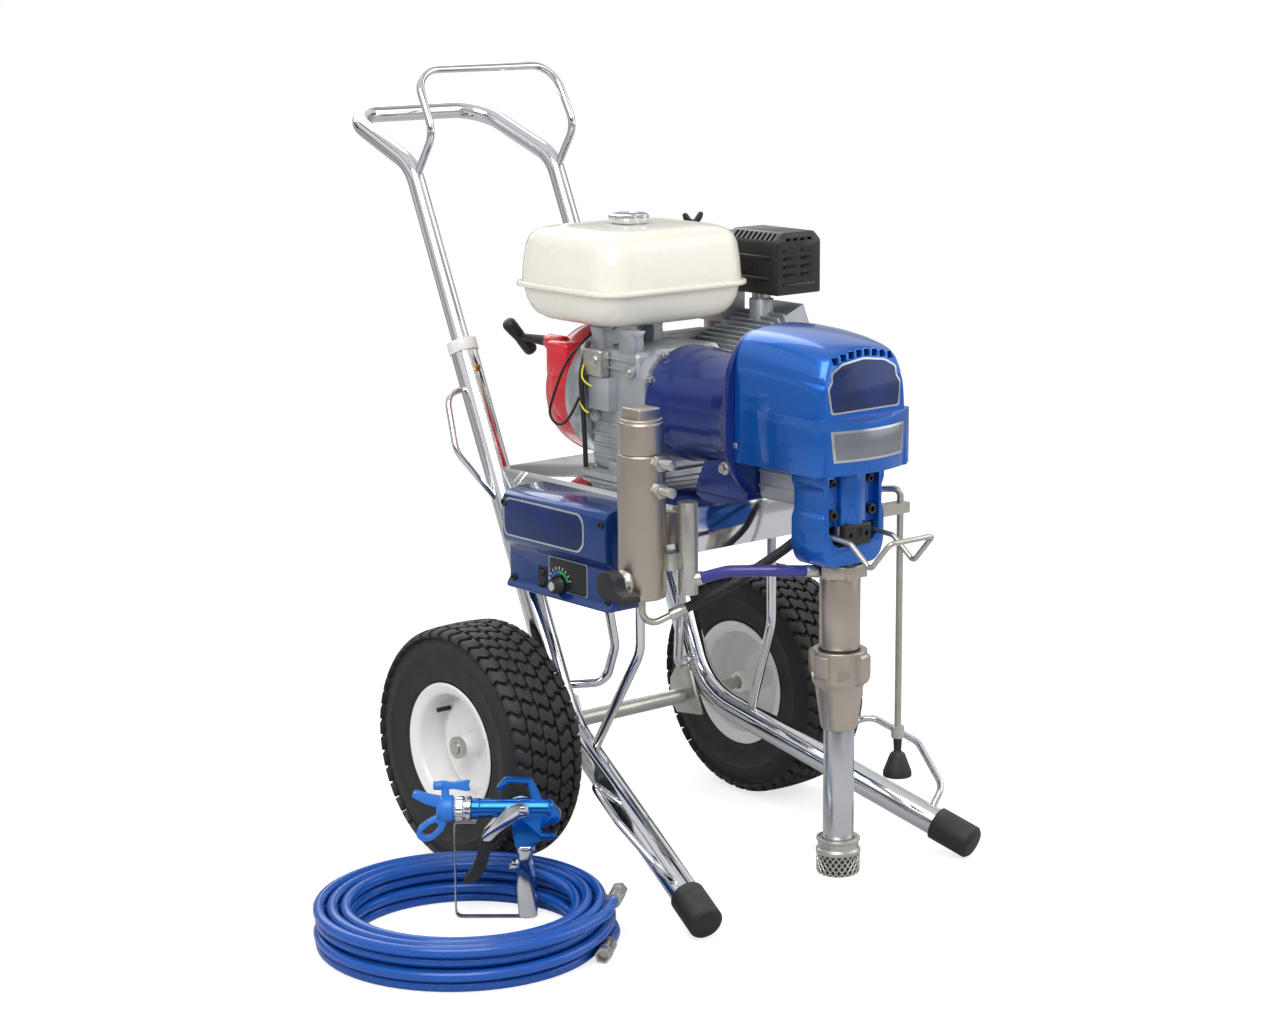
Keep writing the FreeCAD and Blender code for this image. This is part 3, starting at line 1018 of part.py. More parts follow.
ends = []
for label, end_point, way in (("start", coil_start, coil_heading(stations[0][0]) * -1),
                              ("end", coil_end, coil_heading(stations[-1][0]))):
    at = [number for number in end_point]
    ferrule = rod("ferrule_" + label, "ferrule_radius", "fitting_length - 16", at, way)
    swivel = hexagon("swivel_" + label, "fitting_nut", "16",
                     [number for number in end_point + way * (size("fitting_length") - 16)], way)
    bore = rod("swivel_bore_" + label, "outlet_radius", "12",
               [number for number in end_point + way * (size("fitting_length") - 12)], way)
    ends.append(cut("hose_fitting_" + label, fuse("hose_end_" + label, ferrule, swivel), bore))
piece("hose_fittings", *ends)

doc.recompute()
failed = [obj.Name for obj in doc.Objects if "Invalid" in obj.State or "Error" in obj.State]
if failed:
    raise RuntimeError("objects failed: " + ", ".join(failed))

# The origin is the middle of the outer box of all but the hose, on the floor.
outer = FreeCAD.BoundBox()
for item in final_pieces:
    if item.Label not in ("hose_coil", "hose_fittings"):
        outer.add(item.Shape.optimalBoundingBox(True, False))
origin = Vector(-outer.Center.x, -outer.Center.y, -outer.ZMin)
print("origin shift", origin, "outer box", outer)
os.makedirs("parts", exist_ok=True)
for item in final_pieces:
    item.Placement = Placement(origin, Rotation())
doc.recompute()
for item in final_pieces:
    shape = item.Shape
    if shape.isNull() or not shape.isValid() or not shape.Solids:
        raise RuntimeError("bad shape: " + item.Label)
    shape.exportStep("parts/%s.step" % item.Label)
print("%d sub-parts, %d solids" % (len(final_pieces), sum(len(item.Shape.Solids) for item in final_pieces)))
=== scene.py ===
"""Looks of the airless paint sprayer: finishes and detailed pieces built round the fixed frame."""

import json
import logging
import math
from dataclasses import dataclass
from enum import Enum
from typing import Callable, ClassVar, Iterable, Optional, Sequence

import bpy
from mathutils import Matrix, Vector

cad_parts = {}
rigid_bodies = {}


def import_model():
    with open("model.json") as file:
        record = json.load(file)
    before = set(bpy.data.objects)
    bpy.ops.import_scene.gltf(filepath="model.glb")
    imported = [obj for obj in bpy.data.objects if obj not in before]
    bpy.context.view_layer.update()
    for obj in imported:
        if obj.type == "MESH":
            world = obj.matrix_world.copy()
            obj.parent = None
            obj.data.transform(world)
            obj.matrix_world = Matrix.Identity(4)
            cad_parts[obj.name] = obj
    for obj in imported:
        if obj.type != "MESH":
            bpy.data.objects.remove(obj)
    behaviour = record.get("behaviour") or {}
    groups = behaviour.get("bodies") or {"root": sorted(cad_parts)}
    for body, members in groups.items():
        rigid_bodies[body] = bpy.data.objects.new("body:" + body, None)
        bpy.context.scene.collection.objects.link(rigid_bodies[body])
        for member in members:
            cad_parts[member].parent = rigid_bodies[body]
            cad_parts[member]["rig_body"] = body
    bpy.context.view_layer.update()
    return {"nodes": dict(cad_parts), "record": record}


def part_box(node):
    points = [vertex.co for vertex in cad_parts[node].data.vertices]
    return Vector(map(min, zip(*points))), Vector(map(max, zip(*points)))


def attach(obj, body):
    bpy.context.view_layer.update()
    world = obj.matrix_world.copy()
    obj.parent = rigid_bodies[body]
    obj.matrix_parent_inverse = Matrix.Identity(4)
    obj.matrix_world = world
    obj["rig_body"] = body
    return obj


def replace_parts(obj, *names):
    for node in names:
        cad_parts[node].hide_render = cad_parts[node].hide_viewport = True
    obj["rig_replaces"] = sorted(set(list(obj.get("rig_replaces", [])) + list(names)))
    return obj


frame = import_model()
LOG = logging.getLogger("paint_sprayer")
MM = 0.001
TURN = 2 * math.pi
CORNER_SHARE = 0.45
RIGHT = Vector((1, 0, 0))
REAR = Vector((0, 1, 0))
FRONT = Vector((0, -1, 0))
LEFT = Vector((-1, 0, 0))
UP = Vector((0, 0, 1))
ALONG = {"x": RIGHT, "-x": LEFT, "y": REAR, "-y": FRONT, "z": UP}
SIDES = (("right", 1), ("left", -1))
Piece = bpy.types.Object
Outline = Sequence[tuple[float, float]]


def machine_origin() -> Vector:
    """The point of the frame under the middle of the axle, in metres."""
    low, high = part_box("axle")
    return Vector(((low.x + high.x) / 2, (low.y + high.y) / 2, 0.0))


ORIGIN = machine_origin()


def spot(x: float, y: float, z: float) -> Vector:
    """A point in the frame, given in millimetres to the right, rear and top from under the axle."""
    return ORIGIN + Vector((x, y, z)) * MM


def way(direction: "str | Vector") -> Vector:
    """A direction given by a name or a vector, as a unit vector."""
    return ALONG[direction] if isinstance(direction, str) else Vector(direction).normalized()


def rounded(points: Outline, radius: "float | Sequence[float]", steps: int = 4) -> list[tuple[float,
        float]]:
    """A closed outline whose corners are replaced by curves.

    Args:
        points: the corners, two numbers each.
        radius: how far from a corner its curve starts, at most CORNER_SHARE of the shorter side there,
            or one for each corner.
        steps: points along each curve.

    Returns:
        list: the outline with curves in its corners' place.
    """
    made: list[tuple[float, float]] = []
    for number, corner in enumerate(points):
        here = Vector(corner)
        back = Vector(points[number - 1]) - here
        onward = Vector(points[(number + 1) % len(points)]) - here
        wanted = radius if isinstance(radius, (int, float)) else radius[number]
        reach = min(wanted, CORNER_SHARE * back.length, CORNER_SHARE * onward.length)
        start = here + back.normalized() * reach
        finish = here + onward.normalized() * reach
        for step in range(steps + 1):
            share = step / steps
            bend = start * (1 - share) ** 2 + here * 2 * share * (1 - share) + finish * share ** 2
            made.append((bend.x, bend.y))
    return made


class Bench:
    """The workbench: pieces are added, shaped in edit mode and finished on it."""

    merge_distance: ClassVar[float] = 0.00001
    facet_angle: ClassVar[float] = 0.6
    node_soft: ClassVar[float] = 0.5
    node_angle: ClassVar[float] = 32.0
    finishes: ClassVar[dict[str, bpy.types.Material]] = {}

    @staticmethod
    def clear() -> None:
        """Deselects every object."""
        bpy.ops.object.select_all(action="DESELECT")

    @staticmethod
    def take(*pieces: Piece) -> None:
        """Selects these objects alone and makes the first one active."""
        Bench.clear()
        for piece in pieces:
            piece.select_set(True)
        bpy.context.view_layer.objects.active = pieces[0]

    @staticmethod
    def link(name: str, data: bpy.types.ID) -> Piece:
        """Puts a new object with this data in the scene."""
        piece = bpy.data.objects.new(name, data)
        bpy.context.scene.collection.objects.link(piece)
        return piece

    @staticmethod
    def name(name: str) -> Piece:
        """Names the object that was just added, and its mesh."""
        piece = bpy.context.view_layer.objects.active
        piece.name = name
        piece.data.name = name
        return piece

    @staticmethod
    def settle(piece: Piece, along: Vector) -> None:
        """Turns a piece from upright to a direction, and moves its place into its mesh."""
        piece.rotation_mode = "QUATERNION"
        piece.rotation_quaternion = UP.rotation_difference(along)
        Bench.take(piece)
        bpy.ops.object.transform_apply(location=True, rotation=True, scale=True)

    @staticmethod
    def modify(piece: Piece, kind: str, **settings: object) -> None:
        """Adds one modifier and applies it.

        Args:
            piece: the object to change.
            kind: the modifier's type.
            settings: its properties.
        """
        Bench.take(piece)
        modifier = piece.modifiers.new(kind.lower(), kind)
        for label, value in settings.items():
            setattr(modifier, label, value)
        bpy.ops.object.modifier_apply(modifier=modifier.name)

    @staticmethod
    def soften(piece: Piece, width: float, angle: float = 35.0, segments: int = 2) -> Piece:
        """Rounds the sharp edges of a piece and shades it smooth between them.

        Args:
            piece: the object to finish.
            width: width of the rounding in millimetres, or 0 for none.
            angle: the least bend in degrees that counts as an edge.
            segments: faces across the rounding.

        Returns:
            Object: the same object.
        """
        if width:
            Bench.modify(piece, "BEVEL", width=width * MM, segments=segments, limit_method="ANGLE",
                angle_limit=math.radians(angle), harden_normals=False)
        Bench.take(piece)
        bpy.ops.object.shade_smooth_by_angle(angle=math.radians(angle))
        return piece

    @staticmethod
    def open(piece: Piece) -> None:
        """Opens a piece in edit mode with all of it selected."""
        Bench.take(piece)
        bpy.ops.object.mode_set(mode="EDIT")
        bpy.ops.mesh.select_all(action="SELECT")

    @staticmethod
    def close() -> None:
        """Leaves edit mode."""
        bpy.ops.object.mode_set(mode="OBJECT")

    @staticmethod
    def face_out() -> None:
        """Turns every face outwards and leaves edit mode."""
        bpy.ops.mesh.select_all(action="SELECT")
        bpy.ops.mesh.normals_make_consistent(inside=False)
        Bench.close()

    @staticmethod
    def pick_rims() -> None:
        """Selects the open rims of the mesh that is in edit mode."""
        bpy.ops.mesh.select_all(action="DESELECT")
        bpy.ops.mesh.select_mode(type="EDGE")
        bpy.ops.mesh.select_non_manifold()

    @staticmethod
    def pick_edges(piece: Piece, chosen: Callable[[Vector, Vector], bool]) -> None:
        """Opens a piece in edit mode with some edges selected.

        Args:
            piece: the object to edit.
            chosen: says of an edge's two ends whether it is selected.
        """
        Bench.take(piece)
        bpy.ops.object.mode_set(mode="EDIT")
        bpy.ops.mesh.select_all(action="DESELECT")
        bpy.ops.mesh.select_mode(type="EDGE")
        Bench.close()
        mesh = piece.data
        for edge in mesh.edges:
            edge.select = chosen(*[mesh.vertices[number].co for number in edge.vertices])
        bpy.ops.object.mode_set(mode="EDIT")

    @staticmethod
    def block(name: str, low: Sequence[float], high: Sequence[float], soft: float = 0.0,
            segments: int = 2) -> Piece:
        """A box between two corners in machine millimetres, with rounded edges.

        Args:
            name: the piece's name.
            low: the lowest corner.
            high: the highest corner.
            soft: width of the rounding in millimetres.
            segments: faces across the rounding.

        Returns:
            Object: the box.
        """
        Bench.clear()
        middle = [(a + b) / 2 for a, b in zip(low, high)]
        bpy.ops.mesh.primitive_cube_add(size=1, location=spot(*middle))
        piece = Bench.name(name)
        piece.scale = [(b - a) * MM for a, b in zip(low, high)]
        Bench.settle(piece, UP)
        return Bench.soften(piece, soft, segments=segments) if soft else piece

    @staticmethod
    def rod(name: str, radius: float, start: Vector, end: Vector, soft: float = 0.0, sides: int = 40,
            end_radius: Optional[float] = None) -> Piece:
        """A round bar or a cone between two points of the frame.

        Args:
            name: the piece's name.
            radius: its radius at the start, in millimetres.
            start: one end.
            end: the other end.
            soft: width of the rounding of its rims.
            sides: faces round it.
            end_radius: its radius at the end, if it differs.

        Returns:
            Object: the bar.
        """
        Bench.clear()
        line = end - start
        bpy.ops.mesh.primitive_cone_add(vertices=sides, radius1=radius * MM, radius2=(radius
            if end_radius is None else end_radius) * MM, depth=line.length, location=(start + end) / 2)
        piece = Bench.name(name)
        Bench.settle(piece, line)
        return Bench.soften(piece, soft)

    @staticmethod
    def lathe(name: str, profile: Outline, centre: Vector, along: "str | Vector", sides: int = 64,
            loop: bool = False) -> Piece:
        """A turned piece: a ring is extruded and resized from station to station of its profile.

        Args:
            name: the piece's name.
            profile: radius and height pairs in millimetres.
            centre: where height 0 lies in the frame.
            along: the axis.
            sides: faces round it.
            loop: whether the profile closes on itself, as a tube's does.

        Returns:
            Object: the turned piece.
        """
        Bench.clear()
        bpy.ops.mesh.primitive_circle_add(vertices=sides, radius=profile[0][0] * MM)
        piece = Bench.name(name)
        Bench.open(piece)
        bpy.ops.transform.translate(value=(0, 0, profile[0][1] * MM))
        for (radius, height), (next_radius, next_height) in zip(profile, profile[1:]):
            rise = (0, 0, (next_height - height) * MM)
            bpy.ops.mesh.extrude_edges_move(TRANSFORM_OT_translate={"value": rise})
            scale = next_radius / radius
            bpy.ops.transform.resize(value=(scale, scale, 1), center_override=(0, 0, 0))
        Bench.pick_rims()
        if loop:
            bpy.ops.mesh.bridge_edge_loops()
        else:
            bpy.ops.mesh.fill_holes(sides=0)
        Bench.face_out()
        piece.location = centre
        Bench.settle(piece, way(along))
        return Bench.soften(piece, 0)

    @staticmethod
    def loft(name: str, rings: Sequence[Sequence[Vector]], soft: float = 0.0, angle: float = 35.0) -> Piece:
        """A closed skin through rings of points: a grid is laid on them and its ends are filled.

        Args:
            name: the piece's name.
            rings: the rings, each with as many points in the frame.
            soft: width of the rounding of its edges in millimetres.
            angle: the least bend in degrees that counts as an edge.

        Returns:
            Object: the lofted piece.
        """
        Bench.clear()
        around = len(rings[0])
        bpy.ops.mesh.primitive_grid_add(x_subdivisions=around, y_subdivisions=len(rings) - 1, size=1)
        piece = Bench.name(name)
        for number, vertex in enumerate(piece.data.vertices):
            row, column = divmod(number, around + 1)
            vertex.co = rings[row][column % around]
        Bench.open(piece)
        bpy.ops.mesh.remove_doubles(threshold=2 * Bench.merge_distance)
        Bench.pick_rims()
        bpy.ops.mesh.fill_holes(sides=0)
        Bench.face_out()
        return Bench.soften(piece, soft, angle)

    @staticmethod
    def section(outline: Outline, centre: Vector, right: Vector = RIGHT, up: Vector = UP) -> list[Vector]:
        """An outline in millimetres, given along two directions, as a ring of points in the frame."""
        return [centre + right * x * MM + up * y * MM for x, y in outline]

    @staticmethod
    def ring(centre: Vector, right: Vector, up: Vector, reaches: Sequence[float]) -> list[Vector]:
        """Points spread evenly round a centre, each at its own reach in millimetres."""
        turns = [TURN * number / len(reaches) for number in range(len(reaches))]
        return [centre + (right * math.cos(turn) + up * math.sin(turn)) * reach * MM
            for turn, reach in zip(turns, reaches)]

    @staticmethod
    def screw(name: str, head: Vector, out: "str | Vector", radius: float, height: float,
            socket: bool = True) -> Piece:
        """A screw head with a hexagon socket, or a hexagon head on its washer.

        Args:
            name: the piece's name.
            head: the middle of the face that it sits on.
            out: the way that it faces.
            radius: the head's radius.
            height: the head's height.
            socket: whether it is a round head with a socket.

        Returns:
            Object: the screw.
        """
        facing = way(out)
        top = head + facing * height * MM
        if socket:
            body = Bench.rod(name, radius, head - facing * MM, top, radius * 0.14, 28)
            tool = Bench.rod("socket_tool", radius * 0.55, head + facing * height * 0.4 * MM, top
                + facing * MM, 0, 6)
            return Bench.soften(Bench.carve(body, [tool]), 0, 30)
        washer = Bench.rod("washer", radius * 1.35, head - facing * MM, head + facing * 1.2 * MM, 0.3, 28)
        nut = Bench.rod(name, radius, head + facing * 1.0 * MM, top, radius * 0.08, 6)
        return Bench.join(name, [nut, washer])

    @staticmethod
    def plate(name: str, outline: Outline, thick: float, centre: Vector, right: Vector = RIGHT,
            up: Vector = UP) -> Piece:
        """A flat plate of any outline: a filled ring whose points are moved, then extruded.

        Args:
            name: the piece's name.
            outline: two numbers in millimetres for each corner, along right and up.
            thick: its thickness, outwards along right x up.
            centre: where the outline's 0, 0 lies.
            right: the outline's first direction.
            up: the outline's second direction.

        Returns:
            Object: the plate.
        """
        Bench.clear()
        bpy.ops.mesh.primitive_circle_add(vertices=len(outline), radius=MM, fill_type="NGON")
        piece = Bench.name(name)
        outwards = right.cross(up).normalized()
        area = sum(a[0] * b[1] - b[0] * a[1] for a, b in zip(outline, [*outline[1:], outline[0]]))
        ordered = list(outline) if area > 0 else list(reversed(outline))
        ring = sorted(piece.data.vertices, key=lambda vertex: math.atan2(vertex.co.y, vertex.co.x))
        for vertex, place in zip(ring, Bench.section(ordered, centre, right, up)):
            vertex.co = place
        Bench.open(piece)
        bpy.ops.mesh.extrude_region_move(TRANSFORM_OT_translate={"value": outwards * thick * MM})
        Bench.face_out()
        return piece

    @staticmethod
    def curve(name: str, lines: Sequence[Sequence[Vector]], radius: float, fine: int, steps: int,
            caps: bool = True) -> Piece:
        """Round wires along lines of points, as one curve.

        Args:
            name: the piece's name.
            lines: the points of each wire.
            radius: the wires' radius in millimetres.
            fine: how finely they are round.
            steps: the pieces of each span of a smooth wire, or 0 for straight runs.
            caps: whether their ends are filled.

        Returns:
            Object: the curve.
        """
        curve = bpy.data.curves.new(name, "CURVE")
        curve.dimensions = "3D"
        curve.bevel_depth = radius * MM
        curve.bevel_resolution = fine
        curve.use_fill_caps = caps
        for points in lines:
            spline = curve.splines.new("NURBS" if steps else "POLY")
            spline.points.add(len(points) - 1)
            for point, place in zip(spline.points, points):
                point.co = (*place, 1.0)
            if steps:
                spline.order_u = 3
                spline.use_endpoint_u = True
                spline.resolution_u = steps
        return Bench.link(name, curve)

    @staticmethod
    def wires(name: str, lines: Sequence[Sequence[Vector]], radius: float, fine: int = 5, steps: int = 8,
            angle: float = 50.0) -> Piece:
        """Round wires along lines of points, made a mesh.

        Args:
            name: the piece's name.
            lines: the points of each wire.
            radius: the wires' radius in millimetres.
            fine: how finely they are round.
            steps: the pieces of each span of a smooth wire, or 0 for straight runs.
            angle: the least bend in degrees that counts as an edge.

        Returns:
            Object: the wires.
        """
        Bench.take(Bench.curve(name, lines, radius, fine, steps))
        bpy.ops.object.convert(target="MESH")
        return Bench.soften(Bench.name(name), 0, angle)

    @staticmethod
    def join(name: str, pieces: Sequence[Piece]) -> Piece:
        """Makes several objects one."""
        Bench.take(*pieces)
        if len(pieces) > 1:
            bpy.ops.object.join()
        return Bench.name(name)

    @staticmethod
    def copy(piece: Piece, move: Matrix) -> Piece:
        """A copy with a mesh of its own, moved in the mesh."""
        twin = Bench.link(piece.name, piece.data.copy())
        twin.data.transform(move)
        return twin

    @staticmethod
    def carve(piece: Piece, tools: Iterable[Piece], operation: str = "DIFFERENCE") -> Piece:
        """Cuts shapes out of a piece, or joins them to it, and takes those shapes away.

        Args:
            piece: the object to change.
            tools: the shapes.
            operation: the kind of cut.

        Returns:
            Object: the same object.
        """
        tool = Bench.join("carving_tool", list(tools))
        Bench.modify(piece, "BOOLEAN", object=tool, operation=operation, solver="EXACT", use_self=True)
        bpy.data.objects.remove(tool)
        return piece

    @staticmethod
    def refine(node: str) -> Piece:
        """A copy of a frame node with its facets merged, its edges rounded and its shading smooth.

        Args:
            node: the node's name.

        Returns:
            Object: the copy.
        """
        piece = Bench.link(node + "_surface", frame["nodes"][node].data.copy())
        piece.data.name = node + "_surface"
        Bench.open(piece)
        bpy.ops.mesh.remove_doubles(threshold=Bench.merge_distance)
        bpy.ops.mesh.dissolve_limited(angle_limit=math.radians(Bench.facet_angle))
        Bench.close()
        return Bench.soften(piece, Bench.node_soft, Bench.node_angle)

    @staticmethod
    def mount(piece: Piece, slot: str, *nodes: str, body: str = "cart", finish: str = "") -> None:
        """Gives a piece its finish, its body and the nodes that it stands for.

        Args:
            piece: the object.
            slot: the record's material slot.
            nodes: the frame nodes that it replaces.
            body: the body that it rides on.
            finish: its finish, where that isn't named as its slot.
        """
        piece.data.materials.clear()
        piece.data.materials.append(Bench.finishes[finish or slot])
        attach(piece, body)
        if nodes:
            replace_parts(piece, *nodes)
        LOG.info("%s rides on %s", piece.name, body)


def linear(red: int, green: int, blue: int) -> tuple[float, float, float, float]:
    """A colour given as the eye reads it, from 0 to 255, as the shader's linear colour."""
    parts = [value / 255 for value in (red, green, blue)]
    made = [part / 12.92 if part <= 0.04045 else ((part + 0.055) / 1.055) ** 2.4 for part in parts]
    return (*made, 1.0)


class Wiring:
    """Adds nodes to a tree and links them."""

    def __init__(self, tree: bpy.types.NodeTree) -> None:
        """Keeps the tree to work on.

        Args:
            tree: a material's tree or a group's.
        """
        self.tree = tree

    def node(self, kind: str, inputs: Optional[dict] = None, **settings: object) -> bpy.types.Node:
        """A new node with its settings and the values or links of its inputs.

        Args:
            kind: the node's type, without its ShaderNode start.
            inputs: a value, a socket or a node for each named or numbered input.
            settings: the node's own properties.

        Returns:
            Node: the node.
        """
        made = self.tree.nodes.new("ShaderNode" + kind)
        for label, value in settings.items():
            setattr(made, label, value)
        for label, value in (inputs or {}).items():
            if isinstance(value, bpy.types.Node):
                value = value.outputs[0]
            if isinstance(value, bpy.types.NodeSocket):
                self.tree.links.new(value, made.inputs[label])
            else:
                made.inputs[label].default_value = value
        return made

    def end(self, last: bpy.types.NodeSocket) -> bpy.types.NodeTree:
        """Leads a socket out of the group and gives the group's tree."""
        self.tree.links.new(last, self.tree.nodes.new("NodeGroupOutput").inputs[0])
        return self.tree


class Groups:
    """The effects that several finishes share, each a node group with named inputs."""

    FLOAT = "NodeSocketFloat"
    VECTOR = "NodeSocketVector"
    COLOR = "NodeSocketColor"

    def __init__(self) -> None:
        """Builds every group once."""
        self.grain = self.make_grain()
        self.mottle = self.make_mottle()
        self.handling = self.make_handling()
        self.dust = self.make_dust()
        self.flake = self.make_flake()

    @staticmethod
    def start(name: str, inputs: dict[str, tuple[str, object]], output: str, kind: str) -> tuple[Wiring,
            bpy.types.bpy_prop_collection]:
        """Opens a group with its sockets.

        Args:
            name: the group's name.
            inputs: a socket type and a default for each input beside its Vector.
            output: the output's name.
            kind: the output's socket type.

        Returns:
            tuple: its wiring and its inputs.
        """
        tree = bpy.data.node_groups.new(name, "ShaderNodeTree")
        tree.interface.new_socket("Vector", in_out="INPUT", socket_type=Groups.VECTOR)
        for label, (socket_kind, value) in inputs.items():
            socket = tree.interface.new_socket(label, in_out="INPUT", socket_type=socket_kind)
            socket.default_value = value
        tree.interface.new_socket(output, in_out="OUTPUT", socket_type=kind)
        return Wiring(tree), tree.nodes.new("NodeGroupInput").outputs

    def make_grain(self) -> bpy.types.NodeTree:
        """Fine relief, stretched one way where metal is brushed or turned."""
        wiring, given = self.start("surface_grain", {"Stretch": (self.VECTOR, (1, 1, 1)),
            "Scale": (self.FLOAT, 500.0), "Detail": (self.FLOAT, 3.0)}, "Height", self.FLOAT)
        stretched = wiring.node("VectorMath", {0: given["Vector"], 1: given["Stretch"]},
            operation="MULTIPLY")
        noise = wiring.node("TexNoise", {"Vector": stretched, "Scale": given["Scale"],
            "Detail": given["Detail"]})
        return wiring.end(noise.outputs[0])

    def make_mottle(self) -> bpy.types.NodeTree:
        """A colour with soft darker places."""
        wiring, given = self.start("mottled_colour", {"Color": (self.COLOR, (0.5, 0.5, 0.5, 1)),
            "Shade": (self.FLOAT, 0.1), "Scale": (self.FLOAT, 12.0)}, "Color", self.COLOR)
        noise = wiring.node("TexNoise", {"Vector": given["Vector"], "Scale": given["Scale"], "Detail": 4.0})
        low = wiring.node("Math", {0: 1.0, 1: given["Shade"]}, operation="SUBTRACT")
        spread = wiring.node("MapRange", {"Value": noise, "From Min": 0.35, "From Max": 0.65, "To Min": low,
            "To Max": 1.0})
        tinted = wiring.node("VectorMath", {0: given["Color"], "Scale": spread}, operation="SCALE")
        return wiring.end(tinted.outputs[0])

    def make_handling(self) -> bpy.types.NodeTree:
        """Roughness that changes softly, as where hands and rags have been."""
        wiring, given = self.start("handling_marks", {"Low": (self.FLOAT, 0.2), "High": (self.FLOAT, 0.4),
            "Scale": (self.FLOAT, 25.0)}, "Roughness", self.FLOAT)
        noise = wiring.node("TexNoise", {"Vector": given["Vector"], "Scale": given["Scale"], "Detail": 5.0})
        spread = wiring.node("MapRange", {"Value": noise, "From Min": 0.3, "From Max": 0.7,
            "To Min": given["Low"], "To Max": given["High"]})
        return wiring.end(spread.outputs[0])

    def make_dust(self) -> bpy.types.NodeTree:
        """A thin film of dust on what faces up."""
        wiring, given = self.start("dust_film", {"Color": (self.COLOR, (0.5, 0.5, 0.5, 1)),
            "Dust": (self.COLOR, (0.5, 0.48, 0.44, 1)), "Amount": (self.FLOAT, 0.1)}, "Color", self.COLOR)
        shape = wiring.node("NewGeometry")
        split = wiring.node("SeparateXYZ", {0: shape.outputs["Normal"]})
        facing = wiring.node("MapRange", {"Value": split.outputs[2], "From Min": 0.2, "From Max": 1.0})
        noise = wiring.node("TexNoise", {"Vector": given["Vector"], "Scale": 90.0, "Detail": 6.0})
        patchy = wiring.node("Math", {0: facing, 1: noise}, operation="MULTIPLY")
        amount = wiring.node("Math", {0: patchy, 1: given["Amount"]}, operation="MULTIPLY")
        mixed = wiring.node("Mix", {0: amount, 6: given["Color"], 7: given["Dust"]}, data_type="RGBA")
        return wiring.end(mixed.outputs[2])

    def make_flake(self) -> bpy.types.NodeTree:
        """A colour broken up by tiny bright flakes, as in metallic paint."""
        wiring, given = self.start("metallic_flake", {"Color": (self.COLOR, (0.0, 0.1, 0.4, 1)),
            "Spread": (self.FLOAT, 0.3), "Scale": (self.FLOAT, 1500.0)}, "Color", self.COLOR)
        cells = wiring.node("TexVoronoi", {"Vector": given["Vector"], "Scale": given["Scale"]})
        value = wiring.node("SeparateColor", {0: cells.outputs["Color"]})
        low = wiring.node("Math", {0: 1.0, 1: given["Spread"]}, operation="SUBTRACT")
        high = wiring.node("Math", {0: 1.0, 1: given["Spread"]}, operation="ADD")
        spread = wiring.node("MapRange", {"Value": value, "To Min": low, "To Max": high})
        tinted = wiring.node("VectorMath", {0: given["Color"], "Scale": spread}, operation="SCALE")
        return wiring.end(tinted.outputs[0])


class Surface(Enum):
    """How the face of a finish is worked, as the stretch of its grain."""

    EVEN = (1.0, 1.0, 1.0)
    TURNED_UPRIGHT = (1.0, 1.0, 30.0)
    DRAWN_ACROSS = (0.05, 1.0, 1.0)


@dataclass(frozen=True)
class Finish:
    """One finish: its colour, how it shines and the relief of its face."""

    name: str
    color: tuple[int, int, int]
    metallic: float = 0.0
    rough: tuple[float, float] = (0.35, 0.5)
    relief: float = 0.02
    grain: float = 600.0
    surface: Surface = Surface.EVEN
    shade: float = 0.08
    patches: float = 14.0
    coat: float = 0.0
    flake: float = 0.0
    dust: float = 0.0

    def make(self, groups: Groups) -> bpy.types.Material:
        """Builds the finish as a material.

        Args:
            groups: the shared node groups.

        Returns:
            Material: the finish.
        """
        material = bpy.data.materials.new(self.name)
        material.use_nodes = True
        material.diffuse_color = linear(*self.color)
        wiring = Wiring(material.node_tree)
        shader = material.node_tree.nodes["Principled BSDF"]
        place = wiring.node("TexCoord").outputs["Object"]
        color = wiring.node("Group", {"Vector": place, "Color": linear(*self.color), "Shade": self.shade,
            "Scale": self.patches}, node_tree=groups.mottle)
        for group, label, amount in ((groups.flake, "Spread", self.flake), (groups.dust, "Amount",
                self.dust)):
            if amount:
                color = wiring.node("Group", {"Vector": place, "Color": color, label: amount},
                    node_tree=group)
        low, high = self.rough
        marks = wiring.node("Group", {"Vector": place, "Low": low, "High": high}, node_tree=groups.handling)
        relief = wiring.node("Group", {"Vector": place, "Stretch": self.surface.value, "Scale": self.grain},
            node_tree=groups.grain)
        bump = wiring.node("Bump", {"Height": relief, "Strength": 1.0, "Distance": self.relief * MM})
        for label, source in (("Base Color", color), ("Roughness", marks), ("Normal", bump)):
            wiring.tree.links.new(source.outputs[0], shader.inputs[label])
        shader.inputs["Metallic"].default_value = self.metallic
        shader.inputs["Coat Weight"].default_value = self.coat
        shader.inputs["Coat Roughness"].default_value = 0.06
        return material


